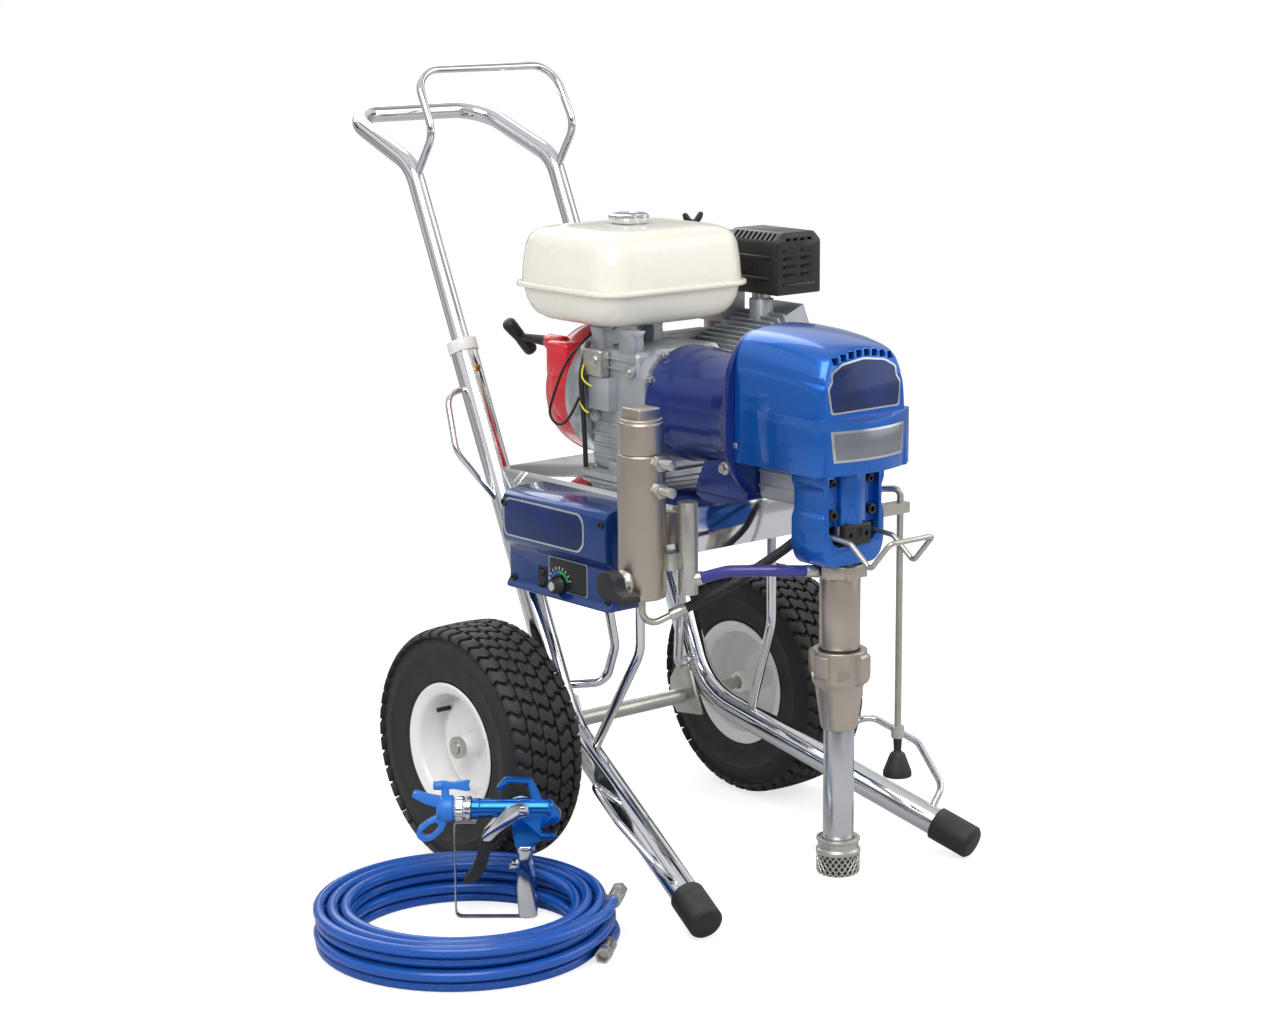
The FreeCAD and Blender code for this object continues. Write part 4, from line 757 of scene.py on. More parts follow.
FINISHES = (Finish("chrome", (226, 227, 230), 1.0, (0.05, 0.11), 0.004, 40.0, shade=0.03),
    Finish("zinc_steel", (206, 204, 196), 0.95, (0.24, 0.4), 0.02, 700.0, shade=0.12, patches=40.0),
    Finish("cap_rubber", (30, 30, 31), 0.0, (0.5, 0.66), 0.05, 500.0, dust=0.12),
    Finish("white_plastic", (233, 232, 228), 0.0, (0.3, 0.42), 0.01), Finish("cast_aluminium",
    (186, 190, 195), 0.7, (0.36, 0.55), 0.16, 520.0, shade=0.2, patches=30.0), Finish("tank_cream",
    (236, 232, 219), 0.0, (0.22, 0.3), 0.006, 250.0, shade=0.015, coat=0.6), Finish("bright_cap",
    (222, 224, 228), 1.0, (0.07, 0.14), 0.004, 60.0, shade=0.03), Finish("shroud_grey", (176, 184, 188),
    0.75, (0.28, 0.42), 0.02, 300.0, shade=0.1), Finish("starter_red", (206, 22, 42), 0.0, (0.22, 0.32),
    0.01, 200.0, shade=0.05, coat=0.5), Finish("black_plastic", (33, 33, 35), 0.0, (0.4, 0.55), 0.03, 800.0,
    shade=0.06, dust=0.06), Finish("black_steel", (27, 26, 28), 0.1, (0.28, 0.4), 0.02, 500.0, shade=0.1,
    coat=0.35), Finish("housing_blue", (4, 42, 122), 0.5, (0.26, 0.36), 0.02, 260.0, shade=0.06, coat=0.5,
    flake=0.12), Finish("cover_blue", (0, 100, 198), 0.7, (0.28, 0.36), 0.008, 200.0, shade=0.04, coat=0.9,
    flake=0.22), Finish("pump_nickel", (196, 186, 174), 1.0, (0.28, 0.4), 0.012, 260.0,
    Surface.TURNED_UPRIGHT, shade=0.06), Finish("control_navy", (12, 60, 128), 0.5, (0.26, 0.36), 0.012,
    260.0, shade=0.05, coat=0.7, flake=0.15), Finish("dial_panel", (30, 31, 36), 0.0, (0.3, 0.4), 0.004,
    300.0, shade=0.04), Finish("hose_blue", (10, 84, 176), 0.0, (0.24, 0.34), 0.02, 150.0, shade=0.08,
    patches=8.0, coat=0.25), Finish("gun_blue", (0, 112, 205), 0.85, (0.16, 0.26), 0.006, 300.0, shade=0.06,
    coat=0.6), Finish("tyre_rubber", (37, 37, 38), 0.0, (0.55, 0.72), 0.08, 600.0, shade=0.18, patches=30.0,
    dust=0.1), Finish("rim_white", (238, 238, 235), 0.0, (0.24, 0.34), 0.01, 240.0, shade=0.02, coat=0.5),
    Finish("pump_hose_violet", (54, 52, 134), 0.0, (0.26, 0.36), 0.015, 200.0, shade=0.08, coat=0.3),
    Finish("guard_blue", (44, 122, 214), 0.0, (0.3, 0.42), 0.012, 500.0, shade=0.05),
    Finish("badge_blue", (4, 40, 104), 0.1, (0.3, 0.36), 0.002, 300.0, shade=0.5, patches=14.0, coat=0.15),
    Finish("badge_silver", (206, 208, 212), 0.9, (0.18, 0.28), 0.004, 300.0, shade=0.04),
    Finish("plate_grey", (150, 154, 162), 0.85, (0.26, 0.34), 0.01, 400.0, Surface.DRAWN_ACROSS, shade=0.1),
    Finish("brass", (201, 164, 84), 1.0, (0.2, 0.3), 0.006, 400.0, shade=0.08),
    Finish("wire_black", (22, 22, 23), 0.0, (0.38, 0.5), 0.01, 500.0), Finish("wire_yellow", (226, 206, 40),
    0.0, (0.36, 0.46), 0.01, 500.0), Finish("dial_green", (20, 158, 84), 0.0, (0.3, 0.36), 0.002, 400.0,
    shade=0.02), Finish("dial_blue", (22, 92, 200), 0.0, (0.3, 0.36), 0.002, 400.0, shade=0.02),
    Finish("weld_brown", (118, 88, 62), 0.8, (0.4, 0.6), 0.2, 500.0, shade=0.3, patches=120.0),)


@dataclass
class Studio:
    """The plain pale floor, the soft light and the camera at the photograph's view."""

    camera_place: tuple[float, float, float] = (-2475.4, -2990.1, 1244.4)
    azimuth: float = -41.87
    elevation: float = 10.91
    focal_pixels: float = 2847.3
    principal_point: tuple[float, float] = (734.95, 477.0)
    picture: tuple[int, int] = (1280, 1024)
    sensor: float = 36.0
    floor_half: float = 14.0

    def set_camera(self) -> None:
        """Makes the scene's camera."""
        lens = bpy.data.cameras.new("studio_camera")
        lens.sensor_width = self.sensor
        lens.lens = self.focal_pixels * self.sensor / self.picture[0]
        lens.shift_x = (self.picture[0] / 2 - self.principal_point[0]) / self.picture[0]
        lens.shift_y = (self.principal_point[1] - self.picture[1] / 2) / self.picture[0]
        lens.clip_end = 60.0
        camera = Bench.link("studio_camera", lens)
        turn, rise = math.radians(self.azimuth), math.radians(self.elevation)
        back = Vector((math.sin(turn) * math.cos(rise), -math.cos(turn) * math.cos(rise), math.sin(rise)))
        camera.location = spot(*self.camera_place)
        camera.rotation_mode = "QUATERNION"
        camera.rotation_quaternion = (-back).to_track_quat("-Z", "Y")
        bpy.context.scene.camera = camera

    def set_floor(self) -> None:
        """Lays the pale floor, which keeps the object's shadow."""
        Bench.clear()
        bpy.ops.mesh.primitive_plane_add(size=2 * self.floor_half, location=(0, 0, 0))
        floor = Bench.name("studio_floor")
        material = bpy.data.materials.new("studio_paper")
        material.use_nodes = True
        wiring = Wiring(material.node_tree)
        nodes = material.node_tree.nodes
        nodes.remove(nodes["Principled BSDF"])
        paper = wiring.node("BsdfDiffuse", {"Color": (0.5, 0.5, 0.505, 1)})
        glow = wiring.node("Emission", {"Color": (1, 1, 1, 1), "Strength": 0.72})
        lifted = wiring.node("AddShader", {0: paper, 1: glow})
        plain = wiring.node("BsdfDiffuse", {"Color": (0.8, 0.8, 0.8, 1)})
        mirrored = wiring.node("BsdfDiffuse", {"Color": (0.55, 0.55, 0.555, 1)})
        path = wiring.node("LightPath")
        bounced = wiring.node("MixShader", {0: path.outputs["Is Glossy Ray"], 1: plain, 2: mirrored})
        shown = wiring.node("MixShader", {0: path.outputs["Is Camera Ray"], 1: bounced, 2: lifted})
        wiring.tree.links.new(shown.outputs[0], nodes["Material Output"].inputs["Surface"])
        floor.data.materials.append(material)

    def set_world(self) -> None:
        """A white surround for the camera, soft grey light, and dark bands for bright metal to show."""
        world = bpy.data.worlds.new("studio_surround")
        bpy.context.scene.world = world
        world.use_nodes = True
        wiring = Wiring(world.node_tree)
        nodes = world.node_tree.nodes
        place = wiring.node("TexCoord").outputs["Generated"]
        height = wiring.node("SeparateXYZ", {0: place})
        bands = wiring.node("ValToRGB", {0: height.outputs[2]})
        stops = ((0.0, 0.55), (0.04, 0.4), (0.09, 0.05), (0.26, 0.09), (0.33, 0.62), (0.62, 0.85),
            (0.7, 0.16), (0.85, 0.7))
        ramp = bands.color_ramp
        for number, (position, level) in enumerate(stops):
            stop = ramp.elements[number] if number < 2 else ramp.elements.new(position)
            stop.position = position
            stop.color = (level, level, level * 1.01, 1)
        round_way = wiring.node("Math", {0: height.outputs[1], 1: height}, operation="ARCTAN2")
        wave = wiring.node("Math", {0: round_way, 1: 3.0}, operation="MULTIPLY")
        stripes = wiring.node("Math", {0: wave}, operation="SINE")
        lift = wiring.node("MapRange", {"Value": stripes, "From Min": -0.1, "From Max": 0.5, "To Min": 0.0,
            "To Max": 0.34})
        mirrored = wiring.node("Mix", {0: lift, 6: bands, 7: (1, 1, 1, 1)}, data_type="RGBA")
        path = wiring.node("LightPath")
        soft = wiring.node("Mix", {0: path.outputs["Is Glossy Ray"], 6: (0.6, 0.605, 0.61, 1),
            7: mirrored.outputs[2]}, data_type="RGBA")
        seen = wiring.node("Mix", {0: path.outputs["Is Camera Ray"], 6: soft.outputs[2], 7: (1, 1, 1, 1)},
            data_type="RGBA")
        wiring.tree.links.new(seen.outputs[2], nodes["Background"].inputs["Color"])

    def set_lamps(self) -> None:
        """Hangs three soft lamps: one over the pump, one at the left and one behind."""
        lamps = (("key_lamp", (-1700, -1500, 2600), 2.2, 62.0), ("fill_lamp", (2200, -1800, 1700), 2.4,
            22.0), ("rear_lamp", (600, 2300, 2400), 2.4, 34.0))
        aim = spot(0, -120, 480)
        for name, place, width, power in lamps:
            lamp = bpy.data.lights.new(name, "AREA")
            lamp.size = width
            lamp.energy = power
            holder = Bench.link(name, lamp)
            holder.location = spot(*place)
            holder.rotation_mode = "QUATERNION"
            holder.rotation_quaternion = (aim - holder.location).to_track_quat("-Z", "Y")

    def build(self) -> None:
        """Sets up the whole studio."""
        bpy.context.scene.view_settings.view_transform = "Standard"
        self.set_camera()
        self.set_floor()
        self.set_world()
        self.set_lamps()


@dataclass
class SprayHose:
    """The spray hose wound on the floor, with a fitting at each end."""

    centre: tuple[float, float] = (-465.0, -240.0)
    tube: float = 7.0
    outer: float = 183.0
    step: float = 17.0
    rise: float = 15.0
    base: float = 7.0
    lift: float = 4.0
    length: float = 12.2
    layers: int = 4
    half_turns: int = 5
    start_angle: float = 40.0
    points_per_half_turn: int = 8

    def stations(self) -> list[tuple[float, float, float]]:
        """The angle, radius and height at the end of each half turn, drawn in and out again."""
        angle = math.radians(self.start_angle)
        radius, height, inward = self.outer, self.base, -1
        made = [(angle - math.pi / 2, radius + self.lift, height + self.lift), (angle, radius, height)]
        for layer in range(self.layers):
            for _ in range(self.half_turns):
                angle += math.pi
                radius += inward * self.step / 2
                made.append((angle, radius, height))
            inward = -inward
            if layer < self.layers - 1:
                angle += math.pi
                height += self.rise
                made.append((angle, radius, height))
        made.append((angle + math.pi / 2, radius + self.lift, height + self.lift))
        return made

    def point(self, angle: float, radius: float, height: float) -> Vector:
        """A point of the coil at an angle, radius and height."""
        return spot(self.centre[0] + radius * math.cos(angle), self.centre[1] + radius * math.sin(angle),
            height)

    def route(self) -> list[Vector]:
        """The hose's control points, evenly round every turn, with a straight lead at each end."""
        stations = self.stations()
        lead = 2 * self.tube * MM
        made = []
        for (angle, radius, height), (next_angle, next_radius, next_height) in zip(stations, stations[1:]):
            span = next_angle - angle
            count = round(self.points_per_half_turn * span / math.pi)
            for number in range(count):
                share = (number + 0.5) / count
                ease = share * share * (3 - 2 * share)
                swell = 1 / math.cos(span / count / 2)
                made.append(self.point(angle + span * share, (radius
                    + (next_radius - radius) * ease) * swell, height + (next_height - height) * ease))
        first, last = self.point(*stations[0]), self.point(*stations[-1])
        for end, station, sign in ((first, stations[0], -1), (last, stations[-1], 1)):
            heading = Vector((-math.sin(station[0]), math.cos(station[0]), 0)) * sign
            leads = [end, end + heading * lead]
            made = [*reversed(leads), *made] if sign < 0 else [*made, *leads]
        return made

    def build(self) -> None:
        ends = Bench.refine("hose_fittings")
        Bench.mount(ends, "zinc_steel", "hose_fittings")
        points = self.route()
        hose = Bench.curve("spray_hose", [points], self.tube, 4, 4, caps=False)
        Bench.mount(hose, "hose_blue", "hose_coil")


@dataclass
class WheelPart:
    """What a tyre and a rim share: a side, the wheel's middle and its body."""

    label: str
    side: int
    centre_x: float = 259.5
    centre_z: float = 165.0

    @property
    def centre(self) -> Vector:
        """The middle of the wheel in the frame."""
        return spot(self.side * self.centre_x, 0, self.centre_z)

    @property
    def body(self) -> str:
        """The body that the wheel's pieces ride on."""
        return "wheel_" + self.label


@dataclass
class Tyre(WheelPart):
    """A turf tyre: a moulded carcass with staggered rows of wavy tread blocks."""

    radius: float = 165.0
    half: float = 56.5
    shoulder: float = 18.5
    sag: float = 1.6
    groove: float = 7.0
    pitches: int = 44
    block_length: float = 18.6
    wave: float = 4.2
    rows: tuple = ((-47.0, 23.0, 0.0), (-22.5, 20.0, 0.5), (0.0, 20.0, 0.0), (22.5, 20.0, 0.5),
        (47.0, 23.0, 0.0))

    def section(self, across: float, depth: float) -> tuple[float, float]:
        """A point of the tyre's crown or shoulder.

        Args:
            across: millimetres from the middle along the outer face.
            depth: millimetres below that face.

        Returns:
            tuple: the offset along the axle and the radius.
        """
        flat = self.half - self.shoulder
        sign = 1 if across >= 0 else -1
        reach = abs(across)
        if reach <= flat:
            return across, self.radius - self.sag * (reach / flat) ** 2 - depth
        turn = min((reach - flat) / self.shoulder, math.pi / 2)
        small = self.shoulder - depth
        return (sign * (flat + small * math.sin(turn)), self.radius - self.sag - self.shoulder
            + small * math.cos(turn))

    def carcass(self) -> Piece:
        """The body of the tyre under its tread, with a rib above the bead."""
        crown = [self.section(-74 + 4 * number, self.groove) for number in range(38)]
        outer = [(radius, offset) for offset, radius in crown]
        walls = [(140.0, 52.5), (132.0, 55.0), (126.0, 55.4), (124.5, 54.2), (112.0, 52.4), (104.0, 50.6),
            (101.0, 51.2), (96.0, 50.0), (92.5, 47.4)]
        inner = [(80.0, 43.0), (80.0, -43.0)]
        profile = [*outer, *walls, *inner, *[(radius, -offset) for radius, offset in reversed(walls)]]
        return Bench.lathe("tyre_%s_body" % self.label, profile, self.centre, "x", 88, loop=True)

    def tread_block(self, middle: float, width: float, stagger: float) -> Piece:
        """One block: a box subdivided across, waved along the tyre and laid on its crown.

        Args:
            middle: where the block's middle lies across the tyre.
            width: its width across.
            stagger: its shift round the tyre, in pitches.

        Returns:
            Object: the block, at the top of the tyre.
        """
        Bench.clear()
        bpy.ops.mesh.primitive_cube_add(size=1)
        block = Bench.name("tread_block")
        Bench.pick_edges(block, lambda a, b: abs(a.x - b.x) > 0.5)
        bpy.ops.mesh.subdivide(number_cuts=5)
        Bench.close()
        Bench.modify(block, "BEVEL", width=0.045, segments=1, limit_method="ANGLE",
            angle_limit=math.radians(40))
        pitch = TURN / self.pitches
        centre = self.centre
        for vertex in block.data.vertices:
            share = vertex.co.x + 0.5
            across = middle + width * vertex.co.x
            bend = self.wave * math.sin(TURN * share) * (1 if middle <= 0 else -1)
            draft = 1.0 - 0.1 * (vertex.co.z + 0.5)
            along = (self.block_length * vertex.co.y * draft + bend) / self.radius
            offset, radius = self.section(across, (0.5 - vertex.co.z) * (self.groove + 1.0))
            angle = along + stagger * pitch
            vertex.co = centre + Vector((offset, radius * math.sin(angle), radius * math.cos(angle))) * MM
        Bench.open(block)
        Bench.face_out()
        return block

    def build(self) -> None:
        """Moulds the tyre and puts it on its wheel."""
        pitch = Bench.join("tread_pitch", [self.tread_block(*row) for row in self.rows])
        to_centre = Matrix.Translation(self.centre)
        blocks = [pitch]
        for number in range(1, self.pitches):
            turn = Matrix.Rotation(TURN * number / self.pitches, 4, "X")
            blocks.append(Bench.copy(pitch, to_centre @ turn @ to_centre.inverted()))
        tyre = Bench.join("tyre_%s_rubber" % self.label, [self.carcass(), *blocks])
        Bench.soften(tyre, 0, angle=40)
        Bench.mount(tyre, "tyre_rubber", "tyre_" + self.label, body=self.body)


@dataclass
class Rim(WheelPart):
    """A pressed steel rim with a dished disc, a hub tube and a valve stem."""

    flange: float = 91.0
    barrel: float = 77.0
    half: float = 50.5
    sheet: float = 3.0
    hub: float = 15.0
    hub_out: float = 31.0
    bore: float = 8.1

    def build(self) -> None:
        """Turns the rim and adds its valve."""
        wall = self.barrel - self.sheet
        outside = [(self.bore, -51.0), (self.hub, -51.0), (self.hub, 1.0), (40.0, 3.0), (58.0, 10.0),
            (wall, -4.0), (wall, 6 - self.half), (self.flange - 3, -self.half),
            (self.flange, -self.half + 1.5), (self.flange - 1, -self.half + self.sheet),
            (self.barrel + 1, -self.half + 7), (self.barrel + 1, self.half - 7),
            (self.flange - 1, self.half - self.sheet), (self.flange, self.half - 1.5),
            (self.flange - 3, self.half), (wall, self.half - 6), (wall, 2.0), (58.0, 13.5), (40.0, 6.5),
            (self.hub + 2, 5.0), (self.hub, self.hub_out), (self.bore, self.hub_out)]
        profile = rounded(outside, 5.0, 3)
        centre = self.centre
        along = "x" if self.side > 0 else "-x"
        rim = Bench.lathe("rim_%s_pressing" % self.label, profile, centre, along, 72, loop=True)
        Bench.mount(rim, "rim_white", "rim_" + self.label, body=self.body)
        valve_at = centre + Vector((self.side * 8, 0, 0)) * MM + Vector((0, 52, 40)) * MM
        stem = Bench.rod("tyre_valve_" + self.label, 3.2, valve_at, valve_at
            + Vector((self.side * 22, 0, 0)) * MM, 0.8, 20)
        Bench.mount(stem, "black_plastic", body=self.body)
        race = Bench.lathe("hub_bearing_" + self.label, rounded([(self.bore + 0.2, 0), (self.hub - 1, 0),
            (self.hub - 1, 2.5), (self.bore + 0.2, 2.5)], 0.6, 2), centre
            + Vector((self.side * (self.hub_out - 0.4), 0, 0)) * MM, along, 36, loop=True)
        Bench.mount(race, "zinc_steel", body=self.body)


@dataclass
class FrontCover:
    """The blue hood over the drive, with its vents, scoops, badge and band."""

    low: float = 573.0
    wall: float = 9.0
    middle: float = 683.0
    band_top: float = 645.0
    band_half: float = 84.0
    nose: float = -490.5
    bow: float = 22.0
    spans: int = 18
    stations: tuple = ((-321, 84.0, 746.0), (-340, 84.0, 746.5), (-380, 82.5, 745.0), (-420, 80.0, 741.0),
        (-448, 77.5, 736.0), (-461, 75.5, 732.5), (-468, 73.0, 729.0), (-471, 70.0, 725.5))
    slots: int = 8
    slot_pitch: float = 13.6

    def outline(self, half: float, top: float, low: float) -> list[tuple[float, float]]:
        """The hood seen from the front, at one place along it."""
        corners = [(-half, low), (half, low), (half - 1, top - 44), (half - 15, top - 11),
            (half * 0.42, top - 2.5), (0, top), (-half * 0.42, top - 2.5), (-half + 15, top - 11),
            (-half + 1, top - 44)]
        radii = (0.01, 0.01, 18, 22, 16, 16, 16, 22, 18)
        return rounded(corners, radii)

    def ring(self, y: float, half: float, top: float, low: float) -> list[Vector]:
        """The hood's ring at a place along it, leaning back a little near the front."""
        share = max(0.0, (-y - 400) / 71)
        made = []
        for x, z in self.outline(half, top, low):
            made.append(spot(x, y + share * (z - self.middle) * 0.07, z))
        return made

    def arc(self, x: float) -> float:
        """How far forward the band reaches at a distance from the middle."""
        return self.nose + self.bow * (x / self.band_half) ** 2

    def panel(self, name: str, half: float, low: float, top: float, proud: float, taper: float) -> Piece:
        """A curved plate on the band's front.

        Args:
            name: the piece's name.
            half: half its width at the top.
            low: the height of its lower edge.
            top: the height of its upper edge.
            proud: how far it stands out of the band.
            taper: how much narrower its lower edge is on each side.

        Returns:
            Object: the plate.
        """
        rings = []
        for number in range(self.spans + 1):
            share = 2 * number / self.spans - 1
            x_top, x_low = share * half, share * (half - taper)
            y_top, y_low = self.arc(x_top) + 2.2, self.arc(x_low) + 2.2
            rings.append([spot(x_low, y_low - proud, low), spot(x_top, y_top - proud, top),
                spot(x_top, y_top + 3, top), spot(x_low, y_low + 3, low)])
        return Bench.loft(name, rings, 0.35)

    def hood(self) -> Piece:
        """The hood with its hollow, its vents and its scoops."""
        outer = Bench.loft("front_hood", [self.ring(y, half, top, self.low) for y, half,
            top in self.stations])
        inner = Bench.loft("hood_hollow", [self.ring(y + 9, half - self.wall, top - self.wall,
            self.low - 20) for y, half, top in ((-345, 84, 746), *self.stations[2:-1])])
        tools = [inner]
        for number in range(self.slots):
            x = (number - (self.slots - 1) / 2) * self.slot_pitch
            z = 722.5 - 3.2 * (x / 48) ** 2 * 2.2
            tools.append(Bench.block("vent_tool", (x - 4.6, -485, z - 4.6), (x + 4.6, -452, z + 4.2), 1.2))
        for side in (-1, 1):
            tools.append(Bench.rod("scoop_tool", 9.5, spot(side * 74.5, -475, 690),
                spot(side * 81.0, -424, 693), 0, 28, end_radius=1.0))
        return Bench.soften(Bench.carve(outer, tools), 0.8, 30)

    def build(self) -> None:
        """Makes the hood, its band and its bare badges."""
        front = [(x, self.arc(x)) for x in range(-84, 85, 7)]
        plan = rounded([(-82.4, -345), *front, (82.4, -345)], 2.0, 2)
        band = Bench.plate("hood_band", plan, self.band_top - self.low, spot(0, 0, self.low), RIGHT, REAR)
        hollow = Bench.block("band_hollow", (-72, -474, self.low - 12), (72, -300, self.band_top - 12), 2)
        slope = [(-500, self.band_top - 9), (-462, self.band_top + 3.5), (-462, self.band_top + 20),
            (-500, self.band_top + 20)]
        shaver = Bench.plate("band_shaver", slope, 240, spot(-120, 0, 0), REAR, UP)
        band = Bench.soften(Bench.carve(band, [hollow, shaver]), 3.0, 30, 3)
        cover = Bench.join("front_hood", [self.hood(), band])
        Bench.mount(cover, "cover_blue", "front_cover")
        corners = [(-57, -30), (57, -30), (61, 0), (54.5, 7), (54.5, 18), (36, 28), (0, 32.5), (-36, 28),
            (-54.5, 18), (-54.5, 7), (-61, 0)]
        tilt = Vector((0, 0.07, 1)).normalized()
        at = spot(0, -470.2, self.middle - 1)
        frame_plate = Bench.plate("badge_frame", rounded([(x * 1.05, z * 1.08) for x, z in corners], 4, 4),
            2.0, at, RIGHT, tilt)
        Bench.mount(Bench.soften(frame_plate, 0.5), "bright_cap", finish="badge_silver")
        badge = Bench.plate("badge_field", rounded(corners, 4), 2.6, at, RIGHT, tilt)
        Bench.mount(Bench.soften(badge, 0.4), "dial_panel", finish="badge_blue")
        rim = self.panel("band_plate_frame", 64, 590, 630, 2.7, 4)
        Bench.mount(rim, "bright_cap", finish="badge_silver")
        plate = self.panel("band_plate", 60.5, 593.2, 627, 3.2, 3.6)
        Bench.mount(plate, "zinc_steel", finish="plate_grey")


@dataclass
class ClutchHousing:
    """The blue bell between engine and drive, with its flange, foot and bolts."""

    centre: float = 620.0
    drum: float = 75.0
    rear: float = -134.0

    def build(self) -> None:
        """Makes the bell and its bolts."""
        axis = spot(0, 0, self.centre)
        inside = self.drum - 6
        bell = [(inside, -self.rear), (self.drum + 1.5, -self.rear), (self.drum + 2.5, -self.rear + 3),
            (self.drum + 2.5, 168), (self.drum, 176), (self.drum, 262), (self.drum + 3, 286),
            (self.drum + 9, 300), (self.drum + 14, 309), (inside, 309)]
        drum = Bench.lathe("clutch_bell", rounded(bell, 2.5, 3), axis, "-y", 88, loop=True)
        corners = [(-64, -96), (64, -96), (94, -44), (94, 70), (62, 121), (-62, 121), (-94, 70), (-94, -44)]
        rings = []
        for y, grow in ((-306.5, -7), (-309, -2), (-313, 0), (-320, 0)):
            ring = [(x * (1 + grow / 100), z * (1 + grow / 100)) for x, z in corners]
            rings.append(Bench.section(rounded(ring, 26, 5), spot(0, y, self.centre)))
        flange = Bench.loft("clutch_flange", rings, 0.8)
        foot = Bench.plate("clutch_foot", rounded([(-308, -106), (-205, -106), (-205, -96), (-222, -62),
            (-308, -50)], 6, 3), 96, spot(-48, 0, self.centre), REAR, UP)
        foot = Bench.soften(foot, 3, 30)
        blister = Bench.block("clutch_blister", (-14, -306, 690), (34, -236, 703), 6, 3)
        housing = Bench.join("clutch_bell", [drum, flange, foot, blister])
        Bench.mount(housing, "housing_blue", "clutch_housing")
        bolts = []
        for side in (-1, 1):
            bolts.append(Bench.screw("housing_bolt", spot(side * 48, -262, 552), "x" if side > 0 else "-x",
                6.5, 7, socket=False))
            bolts.append(Bench.screw("housing_bolt", spot(side * 80, -320, 594), "-y", 5.5, 6))
        Bench.mount(Bench.join("housing_bolts", bolts), "zinc_steel")
        case = Bench.block("drive_case", (-44, -398, 520), (44, -320, 690), 9, 4)
        ribs = [Bench.block("drive_rib", (-45.5, -396, z), (45.5, -324, z + 5), 1.6) for z in (536, 556)]
        drive = Bench.join("drive_case", [case, *ribs])
        Bench.mount(drive, "cast_aluminium", "drive_housing")


@dataclass
class Yoke:
    """The blue bearing housing over the pump, with its shield, guard block and screws."""

    front: float = -455.0
    rear: float = -398.3
    pump: float = -430.0

    def build(self) -> None:
        """Makes the yoke and what is screwed to it."""
        outline = [(-38, 447), (38, 447), (50, 456), (56, 474), (56, 512), (51.5, 520), (51.5, 548),
            (56, 556), (56, 572), (-56, 572), (-56, 556), (-51.5, 548), (-51.5, 520), (-56, 512),
            (-56, 474), (-50, 456)]
        rings = []
        for y, shrink in ((self.rear, 0), (self.front + 5, 0), (self.front + 1.4, 1.4), (self.front, 4.5)):
            ring = [(x * (1 - shrink / 56), 510 + (z - 510) * (1 - shrink / 62)) for x, z in outline]
            rings.append(Bench.section(rounded(ring, 7, 3), spot(0, y, 0)))
        body = Bench.loft("yoke_casting", rings)
        opening = rounded([(-44, 590), (-44, 490), (-30, 474), (30, 474), (44, 490), (44, 590)], 9, 4)
        window = Bench.plate("yoke_window", opening, 58, spot(0, -408, 0))
        throat = Bench.rod("yoke_throat", 20.2, spot(0, self.pump, 430), spot(0, self.pump, 490), 0, 48)
        pins = Bench.rod("bail_tool", 3.6, spot(-53, -445, 489), spot(53, -445, 489), 0, 24)
        link = Bench.block("yoke_link", (-30, -398.8, 528), (30, -397.6, 571))
        yoke = Bench.carve(body, [window, throat, pins])
        ears = [Bench.rod("bail_ear", 8, spot(side * 43, -445, 489), spot(side * 55.5, -445, 489), 1.2, 32)
            for side in (-1, 1)]
        ears = Bench.carve(Bench.join("bail_ears", ears), [Bench.rod("bail_tool", 3.6, spot(-60, -445, 489),
            spot(60, -445, 489), 0, 24)])
        yoke = Bench.join("yoke_casting", [Bench.soften(yoke, 0.9, 32), link, ears])
        Bench.mount(yoke, "cover_blue", "bearing_housing")
        shield = rounded([(-43.4, -446), (-24, -446), (-20, -457), (0, -465), (20, -457), (24, -446),
            (43.4, -446), (43.4, -443.6), (-43.4, -443.6)], (0.1, 1, 14, 24, 14, 1, 0.1, 0.1, 0.1), 5)
        cover = Bench.plate("rod_shield", shield, 573.5 - 500, spot(0, 0, 500), RIGHT, REAR)
        cover = Bench.soften(cover, 1.2, 30)
        Bench.mount(cover, "cover_blue")
        guard = Bench.block("rod_guard", (-23, -464, 474.6), (23, -450.5, 503), 2.5)
        drills = [Bench.rod("guard_tool", 3.4, spot(x, -470, 489), spot(x, -458, 489), 0, 24)
            for x in (-14, 14)]
        slot = Bench.block("guard_tool", (-5, -470, 484), (5, -461.4, 497), 1)
        guard = Bench.soften(Bench.carve(guard, [*drills, slot]), 0.4, 30)
        Bench.mount(guard, "black_plastic")
        screws = [Bench.screw("yoke_screw", spot(side * 34, -446, 516), "-y", 7.2, 8) for side in (-1, 1)]
        screws += [Bench.screw("yoke_screw", spot(side * 33, -446, 556), "-y", 5.5, 6) for side in (-1, 1)]
        Bench.mount(Bench.join("yoke_screws", screws), "black_steel")


def inset_ring(low: Sequence[float], high: Sequence[float], height: float, inset: float, corner: float,
        steps: int) -> list[Vector]:
    """A rectangle with round corners at a height, as a ring of points in the frame.

    Args:
        low: its lowest corner in machine millimetres.
        high: its highest corner.
        height: where it lies.
        inset: how far it is drawn in all round.
        corner: how far from a corner its curve starts.
        steps: points along each curve.

    Returns:
        list: the ring.
    """
    x_low, x_high, y_low, y_high = low[0] + inset, high[0] - inset, low[1] + inset, high[1] - inset
    corners = [(x_low, y_low), (x_high, y_low), (x_high, y_high), (x_low, y_high)]
    return [spot(x, y, height) for x, y in rounded(corners, corner, steps)]


